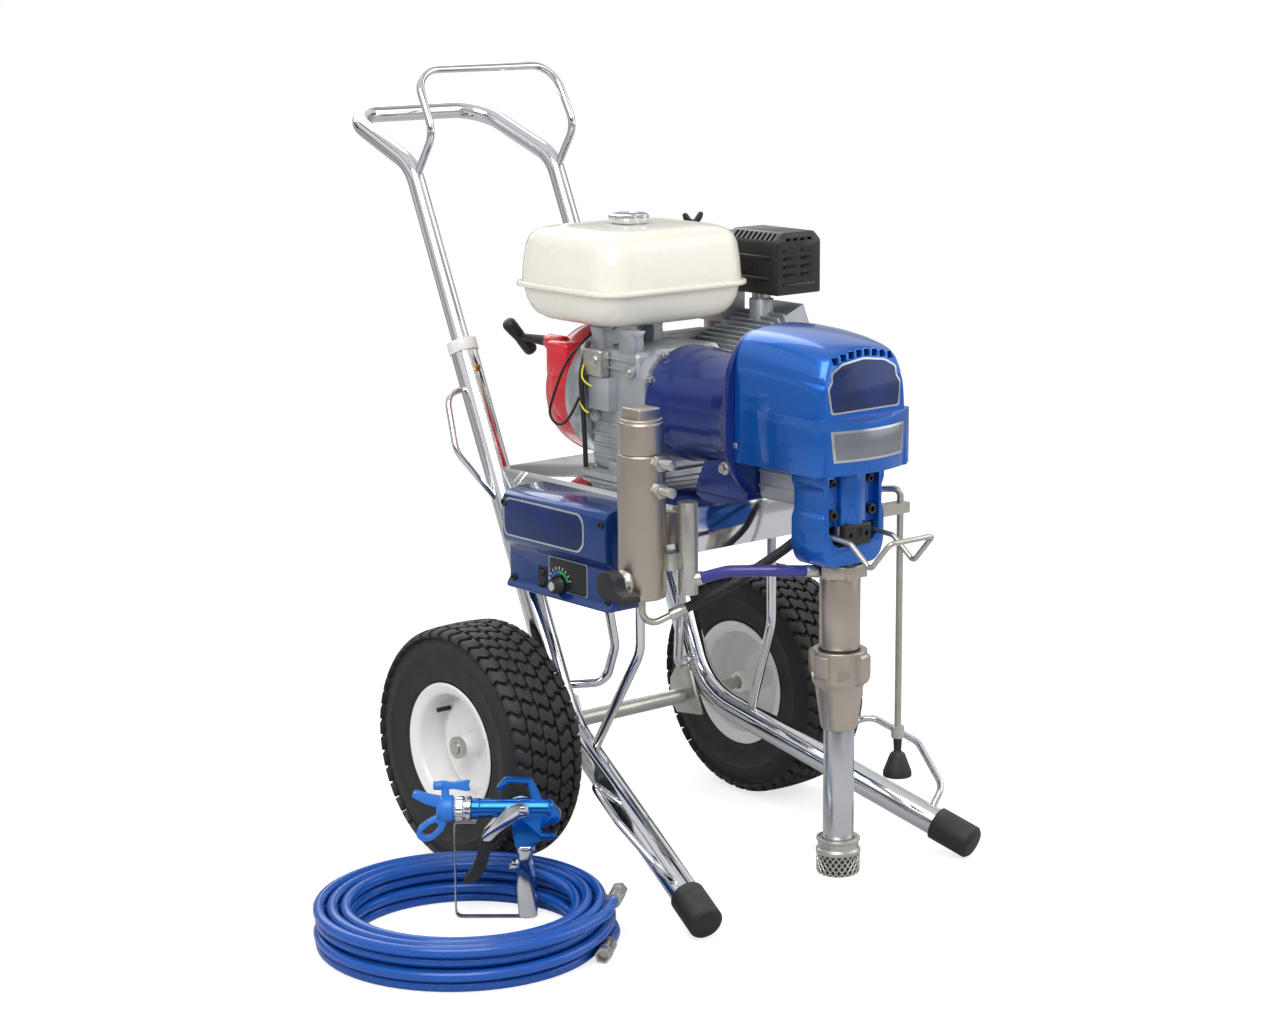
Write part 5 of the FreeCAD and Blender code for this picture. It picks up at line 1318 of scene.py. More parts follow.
@dataclass
class FuelTank:
    """The cream tank of two pressings with a lip between, and its lobed cap."""

    low: tuple[float, float] = (-120.0, -115.0)
    high: tuple[float, float] = (145.0, 110.0)
    upper: tuple = ((768, 5), (772, 5), (800, 6.5), (822, 9), (834, 13), (841, 19), (845, 28), (847.3, 44),
        (848, 70))
    lower: tuple = ((768, 7), (764, 7), (748, 10), (736, 14.5), (728, 20), (722, 29), (719, 42), (718, 60))
    lip: tuple = ((765, 3), (765, 0.8), (766, 0), (770.6, 0), (771.6, 0.8), (771.6, 3))
    filler: tuple[float, float] = (15.0, 5.0)
    lobes: int = 5

    def skin(self, name: str, steps: tuple) -> Piece:
        """A closed skin through the outlines at several heights."""
        return Bench.loft(name, [inset_ring(self.low, self.high, *step, 46, 8) for step in steps], angle=50)

    def build(self) -> None:
        """Makes the tank and its cap."""
        tank = Bench.join("fuel_tank_shell", [self.skin("tank_upper", self.upper),
            self.skin("tank_lower", self.lower), self.skin("tank_lip", self.lip)])
        Bench.mount(tank, "tank_cream", "fuel_tank")
        rings = []
        for height, factor in ((848.4, 0.8), (849.0, 0.9), (850.2, 0.94), (857.0, 1.0), (860.0, 0.99),
                (861.6, 0.9), (862.0, 0.74), (861.2, 0.66), (861.0, 0.3)):
            depth = 3.4 * min(1.0, max(0.0, (factor - 0.6) * 3))
            reaches = [25.2 * factor + depth * abs(math.cos(self.lobes * TURN * number / 180)) ** 0.8
                for number in range(90)]
            rings.append(Bench.ring(spot(*self.filler, height), RIGHT, REAR, reaches))
        grip = Bench.loft("fuel_cap_grip", rings, angle=40)
        plug = Bench.rod("fuel_cap_plug", 20.9, spot(*self.filler, 837.2), spot(*self.filler, 849), 0.8, 48)
        Bench.mount(Bench.join("fuel_cap_grip", [grip, plug]), "bright_cap", "fuel_cap", body="fuel_cap")


@dataclass
class Recoil:
    """The red starter cover with its boss, raised switch box and grip."""

    centre: float = 620.0
    grip_at: tuple[float, float] = (-65.0, 684.0)
    rear: float = 85.0
    slots: int = 14
    grooves: int = 6

    def build(self) -> None:
        """Makes the cover and the grip."""
        axis = spot(0, 0, self.centre)
        profile = [(89, 12.2), (92, 12.2), (92, 46), (87, 66), (72, 76), (64, 77), (60, 84.6), (34, 85),
            (30, 80), (0.6, 80), (0.6, 76), (60, 74), (80, 64), (89, 46)]
        cup = Bench.lathe("recoil_cup", rounded(profile, 5, 3), axis, "y", 88, loop=True)
        slots = []
        for number in range(self.slots):
            turn = Matrix.Rotation(TURN * number / self.slots, 4, "Y")
            tool = Bench.block("recoil_slot", (-3.2, 60, self.centre + 66), (3.2, 92, self.centre + 80), 1)
            slots.append(Bench.copy(tool, Matrix.Translation(axis) @ turn @ Matrix.Translation(-axis)))
            bpy.data.objects.remove(tool)
        cup = Bench.soften(Bench.carve(cup, slots), 0, 30)
        boss = Bench.rod("rope_boss", 11, spot(self.grip_at[0], 48, self.grip_at[1]),
            spot(self.grip_at[0], self.rear, self.grip_at[1]), 2.5, 36)
        box = Bench.block("switch_box", (-90, 16, 640), (-60, 62, 690), 6, 3)
        cover = Bench.join("recoil_cup", [cup, boss, box])
        Bench.mount(cover, "starter_red", "starter_cover")
        disc = Bench.lathe("recoil_badge", [(27, 0), (27, 2.4), (25.6, 3.4), (0.4, 3.4)], axis
            + Vector((0, 79.4, 0)) * MM, "y", 48)
        Bench.mount(disc, "starter_red", finish="badge_silver")
        x, z = self.grip_at
        root = spot(x, self.rear + 0.3, z)
        profile = [(8, 0), (8, 4)]
        for number in range(self.grooves):
            profile += [(7.6 - 0.3 * number, 6 + 6 * number), (6.4 - 0.3 * number, 8 + 6 * number),
                (6.4 - 0.3 * number, 9.5 + 6 * number), (7.2 - 0.3 * number, 11 + 6 * number)]
        profile += [(5.4, 48), (5.4, 62)]
        stem = Bench.lathe("grip_stem", profile, root, "y", 32)
        middle = spot(x, 150, z)
        slant = Vector((0.69, 0, -0.72)).normalized()
        rings = []
        for along, radius in ((-32, 5.5), (-30.5, 8.2), (-27, 9.9), (-16, 9.6), (0, 8.4), (16, 9.6),
                (27, 9.9), (30.5, 8.2), (32, 5.5)):
            rings.append(Bench.ring(middle + slant * along * MM, slant.cross(REAR), REAR, [radius] * 28))
        handle = Bench.loft("starter_handle", rings, angle=40)
        Bench.mount(Bench.join("starter_handle", [handle, stem]), "black_plastic", "starter_grip",
            body="starter_grip")


@dataclass
class EngineBlock:
    """The cast crankcase with its ribs, feet and tank arms, and the bolted cover in front."""

    half: float = 75.0
    front: float = -118.0
    rear: float = -20.0
    low: float = 524.0
    top: float = 690.0
    centre: float = 620.0

    def build(self) -> None:
        """Makes the crankcase, its cover and its bolts."""
        case = Bench.block("crankcase", (-self.half, self.front, self.low), (self.half, self.rear,
            self.top), 8, 3)
        feet = Bench.block("crankcase_feet", (-95, self.front, 514), (95, self.rear, 524), 3)
        bore = Bench.rod("crank_tool", 12.6, spot(0, -130, self.centre), spot(0, -10, self.centre), 0, 40)
        case = Bench.carve(case, [bore])
        parts = [Bench.soften(case, 0, 30), feet]
        for z in (541, 556, 571, 586, 663, 676):
            parts.append(Bench.block("case_rib", (-self.half - 2.6, self.front + 5, z),
                (-self.half + 4, self.rear - 5, z + 4), 1.4))
        for x, y, x_wide, y_wide in ((-75, -110, 20, 32), (-75, -44, 20, 24), (20, -38, 20, 18)):
            arm = Bench.plate("tank_arm", rounded([(x, 684), (x + x_wide, 684), (x + x_wide - 3, 712),
                (x + x_wide + 3, 717.7), (x - 2, 717.7), (x + 2, 706)], 4, 3), y_wide,
                spot(0, y + y_wide, 0))
            parts.append(Bench.soften(arm, 1.6, 30))
        for y, z in ((-106, 596), (-32, 596), (-106, 664), (-32, 664), (-69, 530)):
            parts.append(Bench.rod("case_boss", 9, spot(-self.half + 1, y, z), spot(-self.half - 5, y, z),
                1.6, 28))
        block = Bench.join("crankcase", parts)
        Bench.mount(block, "cast_aluminium", "engine_block")
        screws = [Bench.screw("case_screw", spot(-self.half - 5, y, z), "-x", 5, 5, socket=False)
            for y, z in ((-106, 596), (-32, 596), (-106, 664), (-32, 664))]
        outline = [(-74, -84), (74, -84), (78, 40), (48, 74), (-48, 74), (-78, 40)]
        rings = []
        for y, shrink in ((-118.1, 0), (-130, 0), (-132.6, 0.8), (-133.9, 3)):
            ring = [(a * (1 - shrink / 78), b * (1 - shrink / 78)) for a, b in outline]
            rings.append(Bench.section(rounded(ring, 16, 5), spot(0, y, self.centre)))
        plate = Bench.loft("crankcase_cover", rings)
        ring = Bench.lathe("cover_spigot", rounded([(13, 118.5), (68.6, 118.5), (68.6, 142.8), (13, 142.8)],
            1.5, 2), spot(0, 0, self.centre), "-y", 72, loop=True)
        lugs = []
        for x, z in ((-68, 36), (68, 36), (-44, 66), (44, 66), (-66, -20), (66, -20), (-62, -74),
                (62, -74)):
            lugs.append(Bench.rod("cover_lug", 9.5, spot(x, -119, self.centre + z),
                spot(x, -136.5, self.centre + z), 2, 28))
            screws.append(Bench.screw("cover_screw", spot(x, -136.5, self.centre + z), "-y", 5.4, 5.5,
                socket=False))
        tool = Bench.rod("crank_tool", 13, spot(0, -160, self.centre), spot(0, -110, self.centre), 0, 40)
        plate = Bench.carve(Bench.join("crankcase_cover", [plate, *lugs]), [tool])
        plate = Bench.join("crankcase_cover", [Bench.soften(plate, 0, 35), ring])
        Bench.mount(plate, "cast_aluminium", "crankcase_cover")
        Bench.mount(Bench.join("engine_screws", screws), "zinc_steel")


@dataclass
class MufflerGuard:
    """The black sheet guard with its slots, louvres and ribs."""

    low: tuple[float, float, float] = (175.0, -120.0, 745.0)
    high: tuple[float, float, float] = (258.0, -15.0, 832.0)

    def build(self) -> None:
        """Folds the guard and presses its openings."""
        x_low, y_low, z_low = self.low
        x_high, y_high, z_high = self.high
        profile = [(x_low, z_low), (x_high, z_low), (x_high, z_high - 13), (x_high - 13, z_high),
            (x_low + 13, z_high), (x_low, z_high - 13)]
        guard = Bench.plate("muffler_guard_sheet", rounded(profile, 3, 3), y_high - y_low,
            spot(0, y_high, 0))
        guard = Bench.soften(guard, 4.5, 50, 3)
        hollow = Bench.block("guard_tool", (x_low + 2.2, y_low + 2.2, z_low + 2.2),
            (x_high - 2.2, y_high - 2.2, z_high - 15), 2)
        tools = [hollow, Bench.rod("guard_tool", 13.2, spot(195, -66, 735), spot(195, -66, 760), 0, 32)]
        for number in range(9):
            y = y_low + 12 + number * 9.6
            for x in (x_low + 1.5, x_high - 12):
                tools.append(Bench.block("guard_tool", (x, y, z_high - 16), (x + 10.5, y + 4.6, z_high - 2),
                    1))
        for number in range(4):
            x = x_low + 17 + number * 13.5
            tools.append(Bench.block("guard_tool", (x, y_low - 2, z_high - 12),
                (x + 7, y_low + 14, z_high - 8.5)))
        for column in (x_low + 13, x_low + 46):
            for row in range(4):
                z = z_low + 26 + row * 11.4
                tools.append(Bench.block("guard_tool", (column, y_low - 3, z), (column + 24, y_low + 5, z
                    + 4.2)))
        guard = Bench.soften(Bench.carve(guard, tools), 0, 30)
        trims = []
        for column in (x_low + 13, x_low + 46):
            for row in range(4):
                z = z_low + 30.4 + row * 11.4
                trims.append(Bench.plate("louvre", [(0, 0), (-4.5, -4.2), (-3.6, -4.8), (0.8, -0.8)], 24,
                    spot(column, y_low + 0.6, z), REAR, UP))
        trims.append(Bench.rod("guard_rib", 2.4, spot(x_low + 12, y_low + 0.4, z_low + 14),
            spot(x_high - 12, y_low + 0.4, z_low + 14), 1, 20))
        for z in (z_low + 22, z_low + 52):
            trims.append(Bench.rod("guard_rib", 2.6, spot(x_low + 0.6, y_low + 14, z),
                spot(x_low + 0.6, y_high - 14, z), 1, 20))
        trims.append(Bench.rod("guard_rivet", 3.4, spot(x_low + 1, -66, z_low + 37),
            spot(x_low - 1.6, -66, z_low + 37), 1, 20))
        Bench.mount(Bench.join("muffler_guard_sheet", [guard, *trims]), "black_steel", "muffler_guard")


@dataclass
class AirCleaner:
    """The domed black air cleaner with its base and wing nut."""

    low: tuple[float, float] = (152.0, 0.0)
    high: tuple[float, float] = (262.0, 108.0)
    steps: tuple = ((742, 6), (742.6, 4), (744, 3), (752, 3), (753, 1), (756, 0), (760, 0), (761, 2),
        (786, 3.4), (803, 7), (814, 13), (820, 22), (823, 34), (824, 48))

    def build(self) -> None:
        """Makes the cleaner and its nut."""
        rings = [inset_ring(self.low, self.high, *step, 30, 6) for step in self.steps]
        box = Bench.loft("air_cleaner_box", rings, angle=40)
        x, y = self.low[0] + 33, self.low[1] + 68
        seat = Bench.lathe("wing_nut_seat", [(15, 816), (15, 826), (12.4, 829), (8, 832), (7, 836),
            (0.5, 837)], spot(x, y, 0), "z", 36)
        ears = []
        for side in (-1, 1):
            ear = Bench.plate("wing_nut_ear", rounded([(0, 829), (side * 8, 829), (side * 17, 838),
                (side * 19, 846), (side * 13, 848), (side * 4, 838), (0, 837)], 4, 4), 4.4,
                spot(x, y + 2.2, 0))
            ears.append(Bench.soften(ear, 1.2, 30))
        Bench.mount(Bench.join("air_cleaner_box", [box, seat, *ears]), "black_plastic", "air_cleaner")


@dataclass
class ControlBox:
    """The navy control box with its bare badge, dial, rocker and knob."""

    rear: float = 15.0
    front: float = -205.0
    panel: float = -192.0
    dial: tuple[float, float] = (-97.0, 390.0)
    rocker: tuple[float, float] = (-58.0, 393.0)

    def case(self) -> Piece:
        """The box with its hood, its recessed panel and its lip."""
        profile = [(-135, 507), (-186, 507), (-204, 500), (-205, 470), (-203, 436), (-192, 427),
            (-192, 381), (-199, 372), (-196, 370), (-135, 370)]
        radii = (1, 14, 12, 10, 8, 5, 5, 3, 3, 1)
        rings = []
        for y, shrink in ((self.rear, 5), (self.rear - 1.4, 1.4), (self.rear - 5, 0), (self.front + 5, 0),
                (self.front + 1.4, 1.4), (self.front, 5)):
            ring = [(-160 + (x + 160) * (1 - shrink / 52), 438 + (z - 438) * (1 - shrink / 70))
                for x, z in profile]
            rings.append(Bench.section(rounded(ring, radii), spot(0, y, 0)))
        case = Bench.loft("control_case", rings)
        room = Bench.block("case_tool", (-186, self.front + 6, 376), (-139, self.rear - 6, 500), 3)
        hole = Bench.block("case_tool", (-196, self.rocker[0] - 6.3, self.rocker[1] - 13),
            (-178, self.rocker[0] + 6.3, self.rocker[1] + 13))
        shaft = Bench.rod("case_tool", 3.05, spot(-200, *self.dial), spot(-178, *self.dial), 0, 24)
        return Bench.soften(Bench.carve(case, [room, hole, shaft]), 0.5, 32)

    def arc(self, name: str, first: float, last: float, inner: float, outer: float) -> Piece:
        """A printed band of the dial between two angles.

        Args:
            name: the piece's name.
            first: the first angle in degrees.
            last: the last angle in degrees.
            inner: its inner radius.
            outer: its outer radius.

        Returns:
            Object: the band.
        """
        angles = [math.radians(first + (last - first) * number / 14) for number in range(15)]
        outline = [(outer * math.cos(a), outer * math.sin(a)) for a in angles]
        outline += [(inner * math.cos(a), inner * math.sin(a)) for a in reversed(angles)]
        return Bench.plate(name, outline, 0.35, spot(self.panel - 1.5, *self.dial), FRONT, UP)

    def build(self) -> None:
        """Makes the box and its controls."""
        Bench.mount(self.case(), "control_navy", "control_box")
        face = spot(-204.6, 0, 0)
        corners = [(-2, 446), (150, 446), (160, 456), (160, 484), (152, 494), (2, 494), (-6, 484),
            (-6, 456)]
        grown = [(78 + (a - 78) * 1.035, 470 + (b - 470) * 1.1) for a, b in corners]
        rim = Bench.plate("control_badge_rim", rounded(grown, 6), 1.1, face, FRONT, UP)
        Bench.mount(Bench.soften(rim, 0.3), "bright_cap", finish="badge_silver")
        field_plate = Bench.plate("control_badge", rounded(corners, 6), 1.5, face, FRONT, UP)
        Bench.mount(Bench.soften(field_plate, 0.3), "dial_panel", finish="badge_blue")
        screws = [Bench.screw("control_screw", spot(-203.6, y, 488), "-x", 5.4, 3.6) for y in (7, -197)]
        screws += [Bench.screw("control_screw", spot(-192, y, 384), "-x", 4.6, 3.2) for y in (4, -196)]
        Bench.mount(Bench.join("control_screws", screws), "black_steel")
        y_mid, z_mid = self.dial
        plate = [(152, 382), (152, 425), (74, 425), (74, 382)]
        dial = Bench.plate("dial_sheet", rounded(plate, 4), 1.2, spot(self.panel, 0, 0), FRONT, UP)
        tool = Bench.rod("dial_tool", 3.2, spot(-200, *self.dial), spot(-180, *self.dial), 0, 24)
        dial = Bench.soften(Bench.carve(dial, [tool]), 0.3, 30)
        Bench.mount(dial, "dial_panel", "dial_plate")
        border = Bench.plate("dial_border", rounded([(a + math.copysign(1.6, a - 113), b
            + math.copysign(1.6, b - 403)) for a, b in plate], 5, 4), 0.7, spot(self.panel, 0, 0), FRONT,
            UP)
        opening = Bench.plate("dial_tool", rounded(plate, 4), 4, spot(self.panel + 2, 0, 0), FRONT, UP)
        Bench.mount(Bench.carve(border, [opening]), "bright_cap", finish="badge_silver")
        Bench.mount(self.arc("dial_band_green", 20, 100, 15.5, 19.5), "dial_panel", finish="dial_green")
        Bench.mount(self.arc("dial_band_blue", 104, 200, 15.5, 19.5), "dial_panel", finish="dial_blue")
        ticks = [self.arc("dial_tick", angle, angle + 2.6, 21, 24.5) for angle in range(20, 201, 18)]
        Bench.mount(Bench.join("dial_ticks", ticks), "dial_panel", finish="white_plastic")
        root = spot(self.panel - 1.8, *self.dial)
        rings = []
        for height, radius in ((0.2, 10.5), (0.6, 11.6), (3, 12), (4, 11.2), (12, 10.2), (13.6, 9.2),
                (14, 7.6)):
            ripple = 0.25 if 3 < height < 13 else 0
            reaches = [radius - ripple * (1 + math.cos(TURN * number / 4)) for number in range(72)]
            rings.append(Bench.ring(root + LEFT * height * MM, REAR, UP, reaches))
        knob = Bench.loft("pressure_knob_grip", rings, angle=45)
        pointer = Bench.block("knob_pointer", (-207.4, y_mid - 1.3, z_mid + 2),
            (-193.4, y_mid + 1.3, z_mid + 13), 0.8)
        shaft = Bench.rod("knob_shaft", 3, spot(-186, *self.dial), spot(-196, *self.dial), 0, 24)
        Bench.mount(Bench.join("pressure_knob_grip", [knob, pointer, shaft]), "black_plastic",
            "pressure_knob", body="pressure_knob")
        cap = Bench.lathe("knob_cap", [(6.4, 0), (6.4, 1.0), (5.8, 1.5), (0.3, 1.6)],
            spot(-207.4, y_mid, z_mid), "-x", 36)
        Bench.mount(cap, "bright_cap", body="pressure_knob")
        outline = [(-186, 382), (-186, 404), (-194, 405), (-195.4, 400), (-192.6, 393), (-195.4, 386),
            (-194, 381)]
        y, z = self.rocker
        rocker = Bench.plate("rocker", rounded(outline, 2.4, 3), 12, spot(0, y + 6, 0))
        drill = Bench.rod("rocker_tool", 1.56, spot(-190, y - 9, z), spot(-190, y + 9, z), 0, 20)
        rocker = Bench.soften(Bench.carve(rocker, [drill]), 0.7, 32)
        Bench.mount(rocker, "black_plastic", "power_switch", body="power_switch")
        bezel = Bench.block("rocker_bezel", (-193.2, y - 8.6, z - 16), (-191.8, y + 8.6, z + 16), 1)
        hole = Bench.block("rocker_tool", (-198, y - 6.4, z - 13.4), (-186, y + 6.4, z + 13.4))
        bezel = Bench.soften(Bench.carve(bezel, [hole]), 0.3, 30)
        Bench.mount(bezel, "black_plastic")


@dataclass
class Manifold:
    """The brushed filter housing with its outlets, sensor and prime valve."""

    x: float = -190.0
    y: float = -262.0
    valve: float = 425.0

    def build(self) -> None:
        """Makes the manifold and its fittings."""
        axis = spot(self.x, self.y, 0)
        body = Bench.lathe("manifold_body", rounded([(20, 402), (29, 402), (31, 404.5), (31, 588),
            (29.5, 590), (22, 590), (22, 422), (0.5, 422), (0.5, 402)], (0.1, 2, 2, 2, 1, 1, 2, 0.1, 0.1),
            3)[:-1], axis, "z", 72)
        foot = Bench.block("manifold_foot", (self.x + 28, self.y - 16, 468), (-135, self.y + 16, 508), 2)
        body = Bench.carve(body, [foot], "UNION")
        stem = Bench.rod("manifold_tool", 6.05, spot(self.x - 22.7, self.y, self.valve),
            spot(self.x - 50, self.y, self.valve), 0, 32)
        body = Bench.soften(Bench.carve(body, [stem]), 0, 35)
        Bench.mount(body, "pump_nickel", "filter_housing")
        cap = Bench.lathe("manifold_cap", rounded([(21.7, 566), (21.7, 590.3), (29, 590.3), (29.5, 592),
            (29.5, 629), (27.5, 632), (0.5, 632), (0.5, 566)], (1, 0.5, 1, 2, 2, 2, 0.1, 0.1), 3)[:-1],
            axis, "z", 72)
        plug = Bench.block("manifold_plug", (self.x - 18, self.y - 18, 630), (self.x + 18, self.y + 18,
            649), 2.4, 3)
        collar = Bench.lathe("manifold_collar", rounded([(26, 631), (27.8, 631), (27.8, 634.5), (26, 635.6),
            (4, 635.6), (4, 631)], 0.8, 2), axis, "z", 60, loop=True)
        Bench.mount(Bench.join("manifold_cap", [cap, plug, collar]), "pump_nickel", "filter_cap")
        port = Bench.lathe("valve_port", rounded([(6.2, 28), (17, 28), (17, 32), (13.5, 35), (13.5, 39.6),
            (6.2, 39.6)], 1, 2), spot(self.x, self.y, self.valve), "-x", 48, loop=True)
        Bench.mount(port, "zinc_steel")
        disc = [(19 * math.cos(math.radians(a)), 19 * math.sin(math.radians(a))) for a in range(32, 276, 9)]
        outline = disc + [(14, -15.2), (31, -21.5), (37, -17), (35, -10), (19.5, -3.5)]
        corners = [0.2] * len(disc) + [6, 4, 4, 4, 6]
        knob = Bench.plate("valve_knob", rounded(outline, corners), 19, spot(self.x - 42, self.y,
            self.valve), FRONT, UP)
        knob = Bench.soften(knob, 2.4, 30, 3)
        arm = [(20.5, -8), (35, -10), (37, -16.5), (31, -21.5), (21, -17.6)]
        lever = Bench.plate("valve_lever", rounded(arm, (2, 4, 4, 4, 2), 4), 27,
            spot(self.x - 33, self.y, self.valve), FRONT, UP)
        lever = Bench.soften(lever, 1.8, 30, 3)
        stem = Bench.rod("valve_stem", 6, spot(self.x - 23, self.y, self.valve),
            spot(self.x - 44, self.y, self.valve), 0, 32)
        Bench.mount(Bench.join("valve_knob", [knob, lever, stem]), "black_plastic", "prime_valve_knob",
            body="prime_valve")


@dataclass
class SprayGun:
    """The gun that stands on the floor: blue body, bright grip and cheeks, black trigger."""

    x: float = -353.0
    y: float = -222.0
    turn: float = math.radians(138.5)
    bore: float = 145.0

    @property
    def ahead(self) -> Vector:
        """The way that the gun points."""
        return Vector((math.cos(self.turn), math.sin(self.turn), 0))

    @property
    def side(self) -> Vector:
        """The way across the gun."""
        return Vector((-math.sin(self.turn), math.cos(self.turn), 0))

    def place(self, x: float, y: float, z: float) -> Vector:
        """A place of the gun's own axes in the frame."""
        return spot(self.x, self.y, z) + (self.ahead * x + self.side * y) * MM

    def sheet(self, name: str, outline: Outline, half: float, corner: "float | Sequence",
            soft: float = 0.8) -> Piece:
        """A flat piece of the gun seen from its side.

        Args:
            name: the piece's name.
            outline: its corners, ahead and up.
            half: half its width.
            corner: the corners' radii.
            soft: the rounding of its edges.

        Returns:
            Object: the piece.
        """
        piece = Bench.plate(name, rounded(outline, corner), 2 * half, self.place(0, half, 0), self.ahead,
            UP)
        return Bench.soften(piece, soft, 32)

    def body(self) -> Piece:
        """The barrel with its tail, its neck and the hook on top."""
        axis = self.place(0, 0, self.bore)
        barrel = Bench.lathe("gun_barrel", rounded([(0.5, -37), (9, -37), (12.4, -31), (13, -24), (13, 6),
            (12.3, 8), (12.3, 56), (13, 58), (13, 67), (12.4, 68), (0.5, 68)], (0.1, 2, 2, 2, 0.5, 0.5, 0.5,
            0.5, 0.5, 0.3, 0.1), 3)[:-1], axis, self.ahead, 56)
        neck = self.sheet("gun_neck", [(14, 140), (16, 116), (13, 96.2), (-13, 96.2), (-16, 104),
            (-38, 107), (-40, 111), (-17, 116), (-26, 124), (-42, 128), (-47, 136), (-38, 150), (-20, 154)],
            9.5, (1, 6, 1, 1, 3, 1.5, 2, 5, 4, 3, 4, 6, 6), 1.6)
        hook = self.sheet("gun_hook", [(-26, 148), (-10, 186), (24, 187.5), (36, 173), (30, 167.5),
            (20, 179.5), (-3, 178.5), (-10, 152)], 4.2, (2, 5, 5, 2, 2, 4, 4, 2), 1.3)
        rib = self.sheet("gun_rib", [(20, 130), (20, 126), (-2, 112), (-6, 130)], 3.4, (1.5, 3, 1.5, 1),
            0.8)
        body = Bench.carve(barrel, [neck], "UNION")
        body = Bench.carve(body, [hook], "UNION")
        body = Bench.carve(body, [rib], "UNION")
        drill = Bench.rod("gun_tool", 2.6, self.place(2, -30, 147), self.place(2, 30, 147), 0, 24)
        return Bench.soften(Bench.carve(body, [drill]), 0, 32)

    def grip(self) -> Piece:
        """The bright grip with its swell, its swivel and its latch."""
        rings = []
        for height, lean, length, width in ((1.6, -2, 10.5, 8.6), (2.6, -2, 12, 9.8), (20, -1.6, 13, 10.4),
                (42, -0.6, 13.2, 10.5), (60, 0, 12, 10), (76, 0.4, 9.8, 9), (86, 0.2, 9.4, 8.8),
                (89, 0, 11.6, 10), (95.2, 0, 12.2, 10.2), (96, 0, 11.4, 9.6)):
            ring = [(length, -width), (length, width), (-length, width), (-length, -width)]
            ring = [(lean + x, y) for x, y in rounded(ring, width * 0.86, 6)]
            rings.append(Bench.section(ring, self.place(0, 0, height), self.ahead, self.side))
        grip = Bench.loft("gun_grip_shell", rings, angle=40)
        latch = Bench.rod("gun_latch", 3.1, self.place(8, 0, 75), self.place(21, 0, 66), 1.2, 24)
        roller = Bench.rod("gun_latch", 4.4, self.place(14.5, -6.5, 71), self.place(14.5, 6.5, 71), 0.8, 28)
        swivel = Bench.rod("gun_swivel", 6.6, self.place(0, 0, 0.1), self.place(0, 0, 3), 0.3, 32)
        return Bench.join("gun_grip_shell", [grip, latch, roller, swivel])

    def trigger(self) -> None:
        """The two bright cheeks on their pin and the black pad between them."""
        cheek = [(-6, 140), (6, 137), (30, 120), (44, 106), (53, 107), (54, 113), (40, 130), (24, 150),
            (6, 157.4), (-5, 154)]
        parts = []
        for side in (1, -1):
            middle = 16.0 * side
            plate = Bench.plate("gun_cheek", rounded(cheek, (5, 5, 8, 3, 2, 2, 8, 6, 6, 5), 4), 2.8,
                self.place(0, middle + 1.4, 0), self.ahead, UP)
            parts.append(Bench.soften(plate, 0.8, 32))
            parts.append(Bench.rod("gun_pivot", 5.6, self.place(2, 17.0 * side, 147),
                self.place(2, 19.6 * side, 147), 0.7, 6))
        parts.append(Bench.rod("gun_pivot", 2.5, self.place(2, -17, 147), self.place(2, 17, 147), 0, 24))
        parts.append(Bench.rod("gun_bridge", 2.4, self.place(48, -16, 109.5), self.place(48, 16, 109.5),
            0.3, 24))
        Bench.mount(Bench.join("trigger_cheeks", parts), "chrome", "gun_trigger", body="gun_trigger")
        pad = [(41, 116), (54, 113), (58, 104), (61, 86), (68, 66), (80, 51.4), (79, 48.6), (66, 49),
            (55, 58), (48, 74), (43, 96)]
        piece = self.sheet("trigger_pad", pad, 12.4, (3, 3, 5, 12, 12, 2, 2, 7, 9, 12, 8), 2.2)
        Bench.mount(piece, "black_plastic", body="gun_trigger")

    def guard(self) -> Piece:
        """The flat strip that guards the trigger."""
        outline = [(6.8, 0.02), (91, 0.02), (91, 128), (62, 128), (62, 126.4), (89.4, 126.4), (89.4, 1.6),
            (6.8, 1.6)]
        return self.sheet("trigger_guard_strip", outline, 6, (0.2, 10, 7, 0.2, 0.2, 5.4, 8.4, 0.2), 0.3)

    def nose(self) -> None:
        """The knurled nut, the guard round the tip and the tip with its flag."""
        axis = self.place(0, 0, self.bore)
        rings = []
        for x, radius, depth in ((68.1, 12.5, 0), (68.3, 15, 0), (69.5, 15.9, 0), (74, 15.9, 0),
                (75, 14.6, 0), (77, 14.6, 0), (78, 15.3, 0.5), (79, 15.9, 0.7), (87.6, 15.9, 0.7),
                (88.6, 15.3, 0.5), (89.8, 14.4, 0), (89.8, 10, 0)):
            reaches = [radius - (depth if number % 4 in (1, 2) else 0) for number in range(96)]
            rings.append(Bench.ring(axis + self.ahead * x * MM, self.side, UP, reaches))
        Bench.mount(Bench.loft("guard_nut", rings, angle=30), "chrome")
        head = Bench.lathe("tip_guard_head", rounded([(0.5, 90), (15, 90), (17, 92.5), (17, 103),
            (14, 110.5), (11, 112), (0.5, 112)], (0.1, 1.5, 2, 3, 2, 1.5, 0.1), 3)[:-1], axis, self.ahead,
            56)
        bore = Bench.rod("nose_tool", 5.1, self.place(101, 0, 135.9), self.place(101, 0, 175), 0, 32)
        mouth = Bench.rod("nose_tool", 3.5, self.place(107, 0, self.bore), self.place(114, 0, self.bore), 0,
            32, end_radius=9.5)
        lower = self.sheet("tip_wing", [(98, 133), (110, 137), (124, 130), (138, 118), (138, 108),
            (130, 102), (118, 104), (103, 118)], 7.5, (2, 4, 6, 6, 4, 5, 6, 6), 1.2)
        gap = Bench.plate("nose_tool", rounded([(112, 129), (121, 126), (132, 116), (132, 111),
            (127, 107.5), (119, 110), (109, 121)], (2, 3, 4, 3, 3, 4, 3), 3), 30, self.place(0, 15, 0),
            self.ahead, UP)
